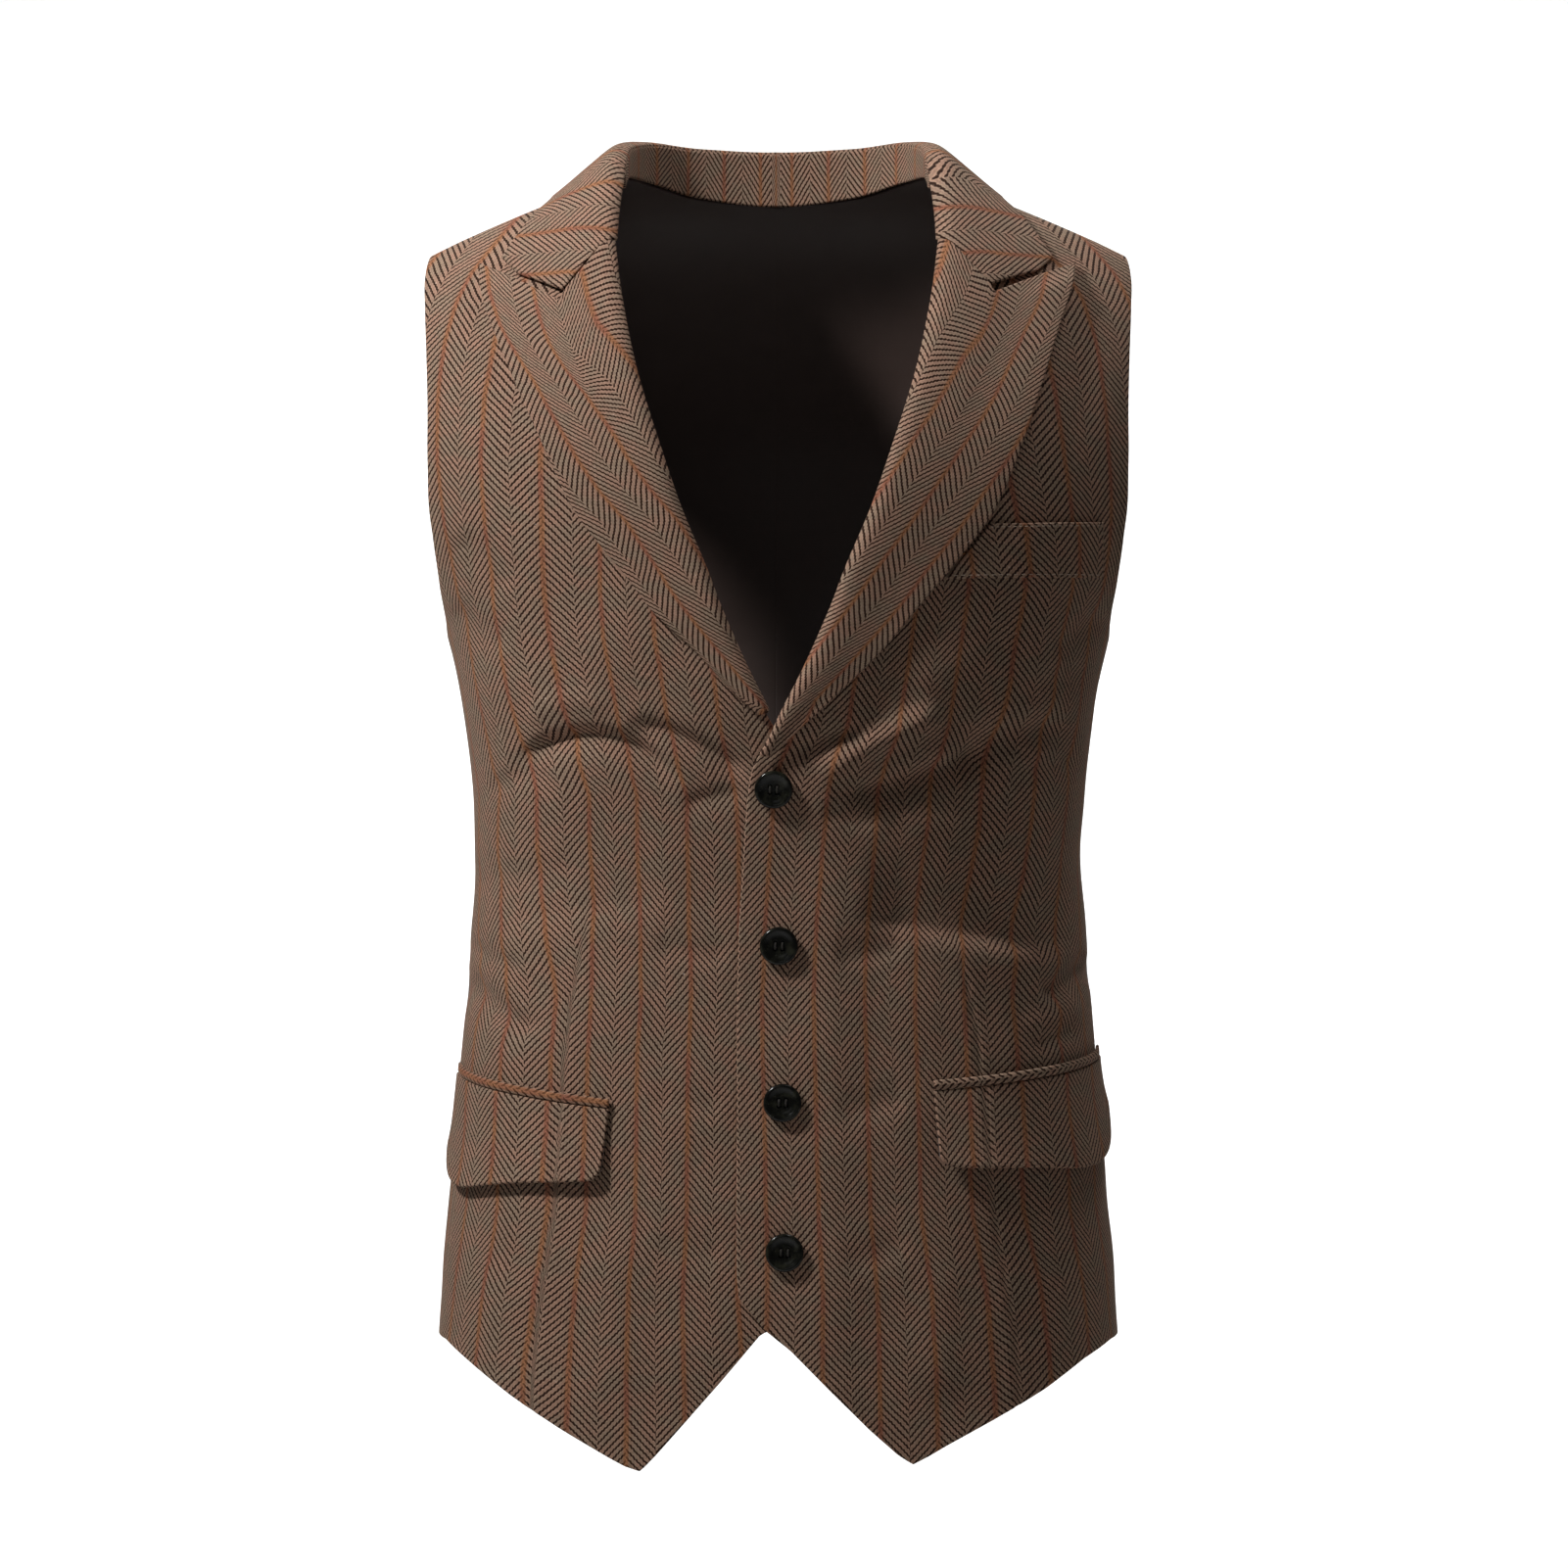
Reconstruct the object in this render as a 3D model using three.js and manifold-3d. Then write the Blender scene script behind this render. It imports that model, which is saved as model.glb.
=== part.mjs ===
import * as THREE from "three";
import Module from "manifold-3d";

// Suit waistcoat, single breasted with peak lapels, as worn and hollow.
// Millimetres. The front faces -Y, the wearer's left is +X, up is +Z.
// The origin is midway between the shoulders, level with the middle of the shoulder seams.

// Cloth and seams
const BODY_WALL = 2.0; // tweed, canvas and lining together
const LAPEL_WALL = 2.2;
const COLLAR_WALL = 2.4;
const FLAP_WALL = 2.2;
const STRIP_WALL = 1.8;
const SEAM_GAP = 0.4;
const LAY_GAP = 0.4; // between a panel and what lies on it
const RELIEF = 0.3; // more of it under the thick collar and the hanging flaps
const SHOULDER_CUT = 0.3; // drop of the front's top below the shoulder line
const OVERLAP_LIFT = 2.6; // how far the left front stands out where it laps over
const CENTRE_SHIFT = -1.5; // the closing sits a little to the wearer's right
const SQUARENESS = 2.35; // exponent of the rounded ring sections
const WAIST_DOWN = 400; // length of cloth from the shoulder down to the pockets
const CORNER_END = 0.99; // share of a round corner that is followed

// Rings of the body, from the hem up
const RINGS = [
  { z: -650, width: 179, front: 112, back: 103 },
  { z: -547, width: 173, front: 111, back: 102 },
  { z: -493, width: 168, front: 109, back: 98 },
  { z: -431, width: 163, front: 106, back: 90 },
  { z: -378, width: 159, front: 104, back: 84 },
  { z: -319, width: 156, front: 107, back: 86 },
  { z: -253, width: 163, front: 117, back: 97 },
  { z: -213, width: 172, front: 120, back: 103 },
  { z: -190, width: 181, front: 120, back: 105 },
  { z: -160, width: 195, front: 119, back: 106 },
  { z: -120, width: 207, front: 118, back: 106 },
  { z: -60, width: 212, front: 116, back: 102 },
  { z: 40, width: 208, front: 116, back: 100 },
];

// Height of the shoulder line at each distance from the centre
const SHOULDER = [
  { out: 0, z: 25 },
  { out: 40, z: 24 },
  { out: 78, z: 19.6 },
  { out: 121, z: 3.5 },
  { out: 160, z: -13 },
  { out: 182, z: -23.5 },
  { out: 205, z: -34 },
];
const FRONT = { side: 1, dome: 190, depth: "front" }; // dome: drop in which the chest fills out
const BACK = { side: -1, dome: 140, depth: "back" };

// Small sums
const mix = (a, b, t) => a + (b - a) * t;
const clamp = (t, lo, hi) => Math.min(Math.max(t, lo), hi);
const ease = (t) => {
  const k = clamp(t, 0, 1);
  return k * k * (3 - 2 * k);
};

// Smooth curve through one column of a table, straight on beyond its ends
function read(rows, at, key, value) {
  const last = rows.length - 1;
  const slope = (j) => {
    const a = rows[Math.max(j - 1, 0)];
    const b = rows[Math.min(j + 1, last)];
    return (b[key] - a[key]) / (b[at] - a[at]);
  };
  if (value <= rows[0][at]) return rows[0][key] + slope(0) * (value - rows[0][at]);
  if (value >= rows[last][at]) return rows[last][key] + slope(last) * (value - rows[last][at]);
  let i = 0;
  while (value > rows[i + 1][at]) i += 1;
  const lo = rows[i];
  const hi = rows[i + 1];
  const span = hi[at] - lo[at];
  const t = (value - lo[at]) / span;
  const rise = t * t * (3 - 2 * t);
  return (
    mix(lo[key], hi[key], rise) +
    t * (1 - t) * (1 - t) * span * slope(i) -
    t * t * (1 - t) * span * slope(i + 1)
  );
}

// Straight pieces between the rows of a table
function readStraight(rows, at, key, value) {
  let i = 0;
  while (i < rows.length - 2 && value > rows[i + 1][at]) i += 1;
  const t = (value - rows[i][at]) / (rows[i + 1][at] - rows[i][at]);
  return mix(rows[i][key], rows[i + 1][key], t);
}

const ridge = (out) => read(SHOULDER, "out", "z", Math.abs(out));
const ringWidth = (z) => read(RINGS, "z", "width", z);
const fullness = (wide) => (1 - Math.min(Math.abs(wide), 1) ** SQUARENESS) ** (1 / SQUARENESS);

// Drop below the shoulder line against length of cloth down from it
function dropOf(down, half) {
  const swing = Math.abs(down) / half.dome;
  return swing < Math.PI / 2
    ? half.dome * (1 - Math.cos(swing))
    : half.dome + Math.abs(down) - (half.dome * Math.PI) / 2;
}
function downOf(drop, half) {
  const d = Math.max(drop, 0);
  return d < half.dome
    ? half.dome * Math.acos(1 - d / half.dome)
    : (half.dome * Math.PI) / 2 + d - half.dome;
}
const bulge = (down, half) =>
  Math.sin(clamp(down / half.dome, -Math.PI / 2, Math.PI / 2));

// Point of the body at a turn round it (0 front centre, PI back centre) and a length down
function atTurn(turn, down, side, half) {
  const s = Math.sin(turn);
  const c = Math.cos(turn);
  const reach = (Math.abs(s) ** SQUARENESS + Math.abs(c) ** SQUARENESS) ** (-1 / SQUARENESS);
  const drop = dropOf(down, half);
  let z = -drop;
  let x = 0;
  for (let i = 0; i < 10; i += 1) {
    x = s * reach * ringWidth(z);
    z = ridge(x) - drop;
  }
  const y = -c * reach * read(RINGS, "z", half.depth, z) * bulge(down, half);
  return new THREE.Vector3(side * x + CENTRE_SHIFT * (1 - Math.abs(s * reach)), y, z);
}

// Point of the body at a distance out from the centre and a length down: + front, - back
function atOut(out, down, side) {
  const half = down < 0 ? BACK : FRONT;
  const z = ridge(out) - dropOf(down, half);
  const wide = out / ringWidth(z);
  const y = -fullness(wide) * read(RINGS, "z", half.depth, z) * bulge(down, half);
  return new THREE.Vector3(side * out + CENTRE_SHIFT * (1 - Math.abs(wide)), y, z);
}

// Turn and length down of a point given by its distance out and height
function chart(out, z, half) {
  const wide = clamp(out / ringWidth(z), -1, 1);
  return {
    turn: Math.atan2(wide, fullness(wide) * half.side),
    down: downOf(ridge(wide * ringWidth(z)) - z, half),
  };
}

// Largest folds of the cloth: soft troughs (depth below 0) and ridges, in front view sizes
const FOLDS = [
  { side: -1, out0: 131, z0: -276, out1: 92, z1: -274, width: 9, depth: -3.8 },
  { side: -1, out0: 92, z0: -273, out1: 50, z1: -294, width: 8, depth: -4.2 },
  { side: -1, out0: 70, z0: -268, out1: 20, z1: -292, width: 8, depth: -2.8 },
  { side: -1, out0: 140, z0: -362, out1: 60, z1: -352, width: 18, depth: -1.8 },
  { side: -1, out0: 156, z0: -393, out1: 126, z1: -417, width: 9, depth: -2.8 },
  { side: 1, out0: 22, z0: -289, out1: 84, z1: -258, width: 9, depth: 4.2 },
  { side: 1, out0: 32, z0: -298, out1: 98, z1: -284, width: 9, depth: -4.4 },
  { side: 1, out0: 98, z0: -283, out1: 146, z1: -262, width: 10, depth: -4.0 },
  { side: 1, out0: 45, z0: -350, out1: 150, z1: -362, width: 18, depth: -3.4 },
  { side: 1, out0: 156, z0: -384, out1: 138, z1: -397, width: 10, depth: -3.0 },
];
function foldAt(p) {
  if (p.y > 10) return 0;
  let sum = 0;
  for (const f of FOLDS) {
    const x0 = f.side * f.out0;
    const dx = f.side * (f.out1 - f.out0);
    const dz = f.z1 - f.z0;
    const t = clamp(((p.x - x0) * dx + (p.z - f.z0) * dz) / (dx * dx + dz * dz), 0, 1);
    const off = Math.hypot(p.x - x0 - t * dx, p.z - f.z0 - t * dz) / f.width;
    sum += f.depth * Math.exp(-off * off);
  }
  return sum;
}
// The left front stands out where it laps over the right one
const lapAt = (p, side) =>
  side > 0 && p.y < 0
    ? OVERLAP_LIFT * ease((-212 - p.z) / 36) * (1 - ease((p.x - 22) / 30))
    : 0;

// A point function moved out along its own normal by lift, with the folds and the overlap
function moved(base, a, b, lift, side, outward) {
  const e = 1e-3;
  const p = base(a, b);
  const n = base(a + e, b)
    .sub(base(a - e, b))
    .cross(base(a, b + e).sub(base(a, b - e)))
    .normalize();
  if (n.dot(outward(p)) < 0) n.negate();
  return p.clone().addScaledVector(n, lift + foldAt(p) + lapAt(p, side));
}
const away = (p) => new THREE.Vector3(p.x / 2.2, p.y, Math.max(p.z + 90, 0) * 0.9);

const onTurn = (turn, down, lift, side, half) =>
  moved((a, b) => atTurn(a, b * 100, side, half), turn, down / 100, lift, side, away);
const onOut = (out, down, lift, side) =>
  moved((a, b) => atOut(a * 100, b * 100, side), out / 100, down / 100, lift, side, away);

// A closed wall of even thickness about a surface given at columns and rows
function wall(name, surface, columns, rows, thickness, finish) {
  const nc = columns.length;
  const nr = rows.length;
  const positions = [];
  for (const face of [0.5, -0.5]) {
    for (const r of rows) {
      for (const c of columns) {
        const e = 2e-3;
        const across = surface(c + e, r).sub(surface(c - e, r));
        const along = surface(c, r + e).sub(surface(c, r - e));
        const n = across.cross(along).normalize();
        const p = surface(c, r).addScaledVector(n, face * thickness);
        positions.push(p.x, p.y, p.z);
      }
    }
  }
  const index = [];
  const quad = (a, b, c, d) => index.push(a, b, c, a, c, d);
  const at = (layer, i, j) => layer * nc * nr + i * nc + j;
  for (let i = 0; i < nr - 1; i += 1) {
    for (let j = 0; j < nc - 1; j += 1) {
      quad(at(0, i, j), at(0, i, j + 1), at(0, i + 1, j + 1), at(0, i + 1, j));
      quad(at(1, i, j), at(1, i + 1, j), at(1, i + 1, j + 1), at(1, i, j + 1));
    }
  }
  for (let j = 0; j < nc - 1; j += 1) {
    quad(at(0, 0, j), at(1, 0, j), at(1, 0, j + 1), at(0, 0, j + 1));
    quad(at(0, nr - 1, j), at(0, nr - 1, j + 1), at(1, nr - 1, j + 1), at(1, nr - 1, j));
  }
  for (let i = 0; i < nr - 1; i += 1) {
    quad(at(0, i, 0), at(0, i + 1, 0), at(1, i + 1, 0), at(1, i, 0));
    quad(at(0, i, nc - 1), at(1, i, nc - 1), at(1, i + 1, nc - 1), at(0, i + 1, nc - 1));
  }
  return named(name, positions, index, finish);
}

// A mesh from points and triangles, turned to face out
function named(name, positions, index, finish) {
  const v = (k) => new THREE.Vector3().fromArray(positions, index[k] * 3);
  let volume = 0;
  for (let k = 0; k < index.length; k += 3) volume += v(k).dot(v(k + 1).cross(v(k + 2)));
  const faces = volume < 0 ? [...index].reverse() : index;
  const geometry = new THREE.BufferGeometry()
    .setAttribute("position", new THREE.Float32BufferAttribute(positions, 3))
    .setIndex(faces);
  geometry.computeVertexNormals();
  const mesh = new THREE.Mesh(geometry, new THREE.MeshStandardMaterial(finish));
  mesh.name = name;
  return mesh;
}

// Evenly spaced numbers from a to b, both ends in
const steps = (a, b, n) => Array.from({ length: n + 1 }, (_, i) => mix(a, b, i / n));

// An edge of a panel: its rows of distance out and height, followed by share of length
function edge(rows, side, half) {
  const marks = rows.map((row) => chart(row.out, row.z, half));
  let length = 0;
  marks.forEach((mark, i) => {
    if (i > 0) {
      const before = marks[i - 1];
      length += atTurn(mark.turn, mark.down, side, half).distanceTo(
        atTurn(before.turn, before.down, side, half),
      );
    }
    mark.at = length;
  });
  return (share) => ({
    turn: read(marks, "at", "turn", share * length),
    down: read(marks, "at", "down", share * length),
  });
}

// Edges of a front
const NECK_EDGE = [
  { out: 79, z: ridge(79) - 0.0005 },
  { out: 82.5, z: 6 },
  { out: 85.2, z: -14 },
  { out: 84, z: -33 },
  { out: 80.2, z: -52 },
  { out: 76.4, z: -69 },
  { out: 71.6, z: -89 },
  { out: 65.9, z: -109 },
  { out: 58.8, z: -130 },
  { out: 49.5, z: -157 },
  { out: 36.9, z: -187 },
  { out: 29.3, z: -207 },
  { out: 20.9, z: -227 },
  { out: 12.8, z: -244 },
  { out: 4.4, z: -260 },
];
const CLOSING_EDGE = [
  { out: 4.4, z: -260 },
  { out: -10.5, z: -284 },
  { out: -13.4, z: -296 },
  { out: -17, z: -342 },
  { out: -19, z: -391 },
  { out: -19.4, z: -488 },
  { out: -19.4, z: -535 },
  { out: -18.3, z: -549 },
];
const ARMHOLE_BOTTOM = -224;
const SIDE_HEM = -576;
const FRONT_ARMHOLE = [
  { out: 179, z: ridge(179) - 0.0005 },
  { out: 181, z: -36 },
  { out: 180.2, z: -52 },
  { out: 178.6, z: -79 },
  { out: 177.6, z: -106 },
  { out: 177.4, z: -133 },
  { out: 176.9, z: -155 },
  { out: 175.2, z: -169 },
  { out: 172.1, z: -194 },
  { out: 170, z: -211 },
  { out: 175, z: ARMHOLE_BOTTOM },
];
const BACK_ARMHOLE = [
  { out: 179, z: ridge(179) - 0.0005 },
  { out: 174, z: -52 },
  { out: 167, z: -92 },
  { out: 163, z: -132 },
  { out: 164, z: -168 },
  { out: 166, z: -196 },
  { out: 168, z: -213 },
  { out: 175, z: ARMHOLE_BOTTOM },
];
const SIDE_SEAM = [
  { out: 300, z: ARMHOLE_BOTTOM },
  { out: 300, z: -300 },
  { out: 300, z: -400 },
  { out: 300, z: -500 },
  { out: 300, z: SIDE_HEM },
];
const HEM = [
  { out: -18.3, right: -549, left: -549 },
  { out: -5.5, right: -562, left: -565 },
  { out: 7.3, right: -567.5, left: -575.3 },
  { out: 27, right: -590.6, left: -595.5 },
  { out: 46.5, right: -612.6, left: -615.1 },
  { out: 60.5, right: -628.3, left: -627.6 },
  { out: 68, right: -636, left: -632.6 },
  { out: 76, right: -633.6, left: -628.6 },
  { out: 84.5, right: -629.3, left: -623.8 },
  { out: 109.6, right: -615.5, left: -611.1 },
  { out: 134.5, right: -600.7, left: -597.6 },
  { out: 155, right: -587, left: -584.4 },
  { out: 170, right: -577, left: -577 },
  { out: 177, right: SIDE_HEM, left: SIDE_HEM },
];
const HEM_TIP = 68;
const TIP_HEIGHT = -634;
const SEAM_REACH = { front: 108, back: 100, centre: 165 }; // cloth moved for each radian of turn

// A front as a map from columns (0 closing edge, 1 side) and rows (0 shoulder, 1 armhole, 2 hem)
function frontMap(side) {
  const neck = edge(NECK_EDGE, side, FRONT);
  const closing = edge(CLOSING_EDGE, side, FRONT);
  const armhole = edge(FRONT_ARMHOLE, side, FRONT);
  const seam = edge(SIDE_SEAM, side, FRONT);
  const sideGap = SEAM_GAP / 2 / SEAM_REACH.front;
  const hemDown = (turn) => {
    const s = Math.sin(turn);
    const reach = (Math.abs(s) ** SQUARENESS + Math.cos(turn) ** SQUARENESS) ** (-1 / SQUARENESS);
    let z = SIDE_HEM;
    let out = 0;
    for (let i = 0; i < 12; i += 1) {
      out = s * reach * ringWidth(z);
      z = readStraight(HEM, "out", side > 0 ? "left" : "right", out);
    }
    return downOf(ridge(out) - z, FRONT);
  };
  const foot = { in: closing(1), out: seam(1) };
  return (c, r) => {
    const inner = r < 1 ? neck(r) : closing(r - 1);
    const outer = r < 1 ? armhole(r) : seam(r - 1);
    const turn = mix(inner.turn, Math.min(outer.turn, Math.PI / 2 - sideGap), c);
    const hemTurn = mix(foot.in.turn, foot.out.turn, c);
    const extra = hemDown(clamp(hemTurn, -0.2, Math.PI / 2)) - mix(foot.in.down, foot.out.down, c);
    const down = mix(inner.down, outer.down, c) + extra * ease((r - 1.3) / 0.7) ** 1.1;
    return { turn, down: down + SHOULDER_CUT * ease(1 - r * 20) };
  };
}
function frontColumns(side) {
  const tip = chart(HEM_TIP, TIP_HEIGHT, FRONT).turn;
  const from = edge(CLOSING_EDGE, side, FRONT)(1).turn;
  const mark = (tip - from) / (Math.PI / 2 - from);
  return [...steps(0, mark - 0.035, 5), mark, ...steps(mark + 0.035, 1, 9)];
}
function front(name, side) {
  const map = frontMap(side);
  const surface = (c, r) => {
    const { turn, down } = map(c, r);
    return onTurn(turn, down, -BODY_WALL / 2, side, FRONT);
  };
  const rows = [...steps(0, 1, 15), ...steps(1, 2, 25).slice(1)];
  return wall(name, surface, frontColumns(side), rows, BODY_WALL, TWEED);
}

// Collar stations, from behind the centre back round to the gorge
// foot: neck seam, rise: how far the roll stands over it, edge: outer edge of the fall
const COLLAR = [
  { at: -0.2, footOut: -44, foot: -56, rise: 27, edgeOut: -62, edge: -87 },
  { at: 0, footOut: 0, foot: -68, rise: 30, edgeOut: 0, edge: -99 },
  { at: 0.2, footOut: 44, foot: -56, rise: 27, edgeOut: 62, edge: -87 },
  { at: 0.35, footOut: 68, foot: -30, rise: 22, edgeOut: 94, edge: -54 },
  { at: 0.48, footOut: 78, foot: -4, rise: 17.5, edgeOut: 112, edge: 0 },
  { at: 0.6, footOut: 80.5, foot: 30, rise: 13, edgeOut: 116, edge: 34 },
  { at: 0.75, footOut: 81.5, foot: 66, rise: 8, edgeOut: 124, edge: 55 },
  { at: 0.88, footOut: 81.5, foot: 98, rise: 3.5, edgeOut: 131, edge: 76 },
  { at: 1, footOut: 81, foot: 122, rise: 0, edgeOut: 139.5, edge: 96 },
];
const GORGE_DIP = [
  { c: 0, down: 0 },
  { c: 0.444, down: 36 },
  { c: 0.855, down: 17.5 },
  { c: 1, down: 0 },
];
const COLLAR_SKEW = 30; // run of the collar's slant along the neck
const STAND_FOOT = -1; // the stand's lower edge over the neck seam
const STAND_SHORT = 5.4; // how much lower the stand ends than the roll
const ROLL_PULL = 3; // how much the rolled cloth draws the roll's crest down
const FALL_CURVE = 1.12; // exponent of the fall from the roll to the collar's edge
const LEVEL_ROLL_LIFT = 1.9; // lift of the roll where the stand is full
const FULL_STAND = 8; // rise from which the stand is full
const COLLAR_END_CUT = 0.6; // what the collar's end leaves for the gorge seam
const STAND_INSET = 3.6; // the stand's distance inside the neck seam
const CURL = 2.2; // length in which the roll turns over
const ROLL_LIFT = 4.2;
const ROLL_START = -0.9; // the roll's first row, just behind the front's edge
const rollLift = (width, c, base, start = ROLL_START, top = ROLL_LIFT) =>
  mix(start + (top - start) * (1 - Math.exp((-width * c) / CURL)), base, ease(c));

const inwardAt = (p) => new THREE.Vector3(-p.x, -p.y * 0.9, 0).normalize();

function collar(name) {
  const base = LAY_GAP + COLLAR_WALL / 2 + RELIEF;
  const surface = (c, r) => {
    const side = r < 0 ? -1 : 1;
    const t = Math.abs(r);
    const get = (key) => read(COLLAR, "at", key, t);
    const out = mix(get("footOut"), get("edgeOut"), c);
    const dip = readStraight(GORGE_DIP, "c", "down", c) * ease((t - 0.66) / 0.34);
    const down = mix(get("foot"), get("edge"), c) + dip - COLLAR_END_CUT * ease((t - 0.9) / 0.1);
    const rise = get("rise");
    const width = Math.hypot(get("edgeOut") - get("footOut"), COLLAR_SKEW);
    const full = Math.min(rise / FULL_STAND, 1);
    const top = mix(ROLL_LIFT, LEVEL_ROLL_LIFT, full);
    const p = onOut(out, down, rollLift(width, c, base, ROLL_START, top), side);
    const curl = Math.exp((-width * c) / CURL);
    p.addScaledVector(inwardAt(p), STAND_INSET * curl * full);
    p.z += rise * (1 - clamp(c, 0, 1)) ** FALL_CURVE - ROLL_PULL * curl * full;
    return p;
  };
  const columns = [0, 0.035, 0.09, 0.2, 0.444, 0.65, 0.855, 1];
  return wall(name, surface, columns, steps(-1, 1, 40), COLLAR_WALL, TWEED);
}

function collarStand(name) {
  const surface = (c, r) => {
    const side = r < 0 ? -1 : 1;
    const t = Math.abs(r);
    const get = (key) => read(COLLAR, "at", key, t);
    const p = atOut(get("footOut"), get("foot"), side);
    p.addScaledVector(inwardAt(p), STAND_INSET);
    p.z += mix(STAND_FOOT, get("rise") - STAND_SHORT, c);
    return p;
  };
  return wall(name, surface, steps(0, 1, 3), steps(-0.7, 0.7, 26), BODY_WALL, TWEED);
}

// Roll line and outer edges of the lapels, top to bottom
const ROLL = [
  { at: 0, out: 81, z: -20.6 },
  { at: 0.13, out: 76.3, z: -52 },
  { at: 0.28, out: 68.4, z: -89 },
  { at: 0.45, out: 55.6, z: -130 },
  { at: 0.57, out: 46.3, z: -157 },
  { at: 0.7, out: 33.7, z: -187 },
  { at: 0.79, out: 26.1, z: -207 },
  { at: 0.9, out: 14.5, z: -233.5 },
  { at: 1, out: 2.5, z: -257.5 },
];
const LAPEL_EDGE = [
  { at: 0, right: 150.9, left: 150.9, z: -31 },
  { at: 0.06, right: 149, left: 147, z: -45 },
  { at: 0.16, right: 141.9, left: 139.8, z: -66 },
  { at: 0.3, right: 128.2, left: 130, z: -98 },
  { at: 0.42, right: 116, left: 121, z: -125 },
  { at: 0.57, right: 100.3, left: 107.5, z: -158 },
  { at: 0.65, right: 86.8, left: 94.5, z: -176 },
  { at: 0.73, right: 73.5, left: 81.8, z: -192 },
  { at: 0.81, right: 60.5, left: 67.8, z: -209 },
  { at: 0.9, right: 41, left: 53, z: -227 },
  { at: 1, right: 22.5, left: 32.5, z: -247 },
];
const PEAK_DIP = [
  { c: 0, z: 0 },
  { c: 0.372, z: -23.4 },
  { c: 1, z: 0 },
];
const ROLL_SET = 1.1; // how far outside the front's edge the roll begins
const GORGE_GAP = 0.7; // drop of the lapel's top below the collar's end
const RIM_OFF = { right: 0.6, left: 2.6 }; // how far the rim springs off the chest
// Below the last rows above, each lapel narrows to its end at the closing
const LAPEL_END = {
  right: { out: 3.6, z: -258.5, edge: 8.5 },
  left: { out: -8, z: -279, edge: -3 },
};

function lapel(name, side) {
  const key = side > 0 ? "left" : "right";
  const end = LAPEL_END[key];
  const base = LAY_GAP + LAPEL_WALL / 2;
  const surface = (c, r) => {
    const t = Math.min(r, 1);
    const past = Math.max(r - 1, 0);
    const roll = { out: read(ROLL, "at", "out", t), z: read(ROLL, "at", "z", t) };
    const rim = { out: read(LAPEL_EDGE, "at", key, t), z: read(LAPEL_EDGE, "at", "z", t) };
    roll.out = mix(roll.out, end.out, past);
    roll.z = mix(roll.z, end.z, past);
    rim.out = mix(rim.out, end.edge, past);
    rim.z = mix(rim.z, end.z - 1, past);
    const dip = readStraight(PEAK_DIP, "c", "z", c) * (1 - ease(r / 0.5));
    const out = mix(roll.out, rim.out, c) + ROLL_SET * (1 - c) * ease(1 - c * 6);
    const z = mix(roll.z, rim.z, c) + dip - GORGE_GAP * ease(1 - r * 12);
    const width = Math.hypot(rim.out - roll.out, rim.z - roll.z);
    const start = mix(ROLL_START, base + LAY_GAP, ease(past * 1.6));
    const springs = ease((c - 0.45) / 0.55) * ease(t / 0.05) * (1 - ease((t - 0.6) / 0.35));
    const lift = rollLift(width, c, base, start) + RIM_OFF[key] * springs;
    return onOut(out, downOf(ridge(out) - z, FRONT), lift, side);
  };
  const columns = [0, 0.03, 0.08, 0.18, 0.372, 0.55, 0.72, 0.87, 1];
  const rows = [...steps(0, 1, 18), 1.33, 1.66, 2];
  return wall(name, surface, columns, rows, LAPEL_WALL, TWEED);
}

// A back as a map from columns (0 centre back, 1 side) and rows (0 top, 1 armhole, 2 hem)
const BACK_HEM = -579;
const SHOULDER_WIDTH = 209; // half width of the ring at the shoulder line
const NECK_END = 78; // the back neck seam's end at the shoulder
const CENTRE_TOP = 68; // length of cloth from the shoulder line to the centre of the back neck
function back(name, side) {
  const armhole = edge(BACK_ARMHOLE, side, BACK);
  const seam = edge(SIDE_SEAM, side, BACK);
  const centreTop = { turn: Math.PI, down: CENTRE_TOP };
  const centreMid = chart(0, -235, BACK);
  const centreLow = chart(0, BACK_HEM, BACK);
  const neckDown = (out) => {
    const rows = COLLAR.filter((row) => row.at >= 0 && row.at < 0.5);
    return out >= NECK_END ? 0.5 : -read(rows, "footOut", "foot", out);
  };
  const centreGap = SEAM_GAP / 2 / SEAM_REACH.centre;
  const sideGap = SEAM_GAP / 2 / SEAM_REACH.back;
  const surface = (c, r) => {
    const middle =
      r < 1 ? mix(centreTop.down, centreMid.down, r) : mix(centreMid.down, centreLow.down, r - 1);
    const outer = r < 1 ? armhole(r) : seam(r - 1);
    const turn = mix(Math.PI - centreGap, Math.max(outer.turn, Math.PI / 2 + sideGap), c);
    const topTurn = mix(Math.PI, armhole(0).turn, c);
    const wide = Math.sin(topTurn) *
      (Math.abs(Math.sin(topTurn)) ** SQUARENESS + Math.abs(Math.cos(topTurn)) ** SQUARENESS) **
        (-1 / SQUARENESS);
    const out = clamp(wide * SHOULDER_WIDTH, 0, SHOULDER_WIDTH);
    const extra = neckDown(out) - mix(centreTop.down, armhole(0).down, c);
    const down = mix(middle, outer.down, c) + extra * (1 - ease(r / 0.6));
    return onTurn(turn, down, -BODY_WALL / 2, side, BACK);
  };
  const neckAt = [0, 0.09, 0.17, 0.24, 0.3, 0.35, 0.39, 0.42];
  const columns = [...neckAt, ...steps(0.5, 1, 5)];
  const rows = [...steps(0, 1, 11), ...steps(1, 2, 11).slice(1)];
  return wall(name, surface, columns, rows, BODY_WALL, SATIN);
}

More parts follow.
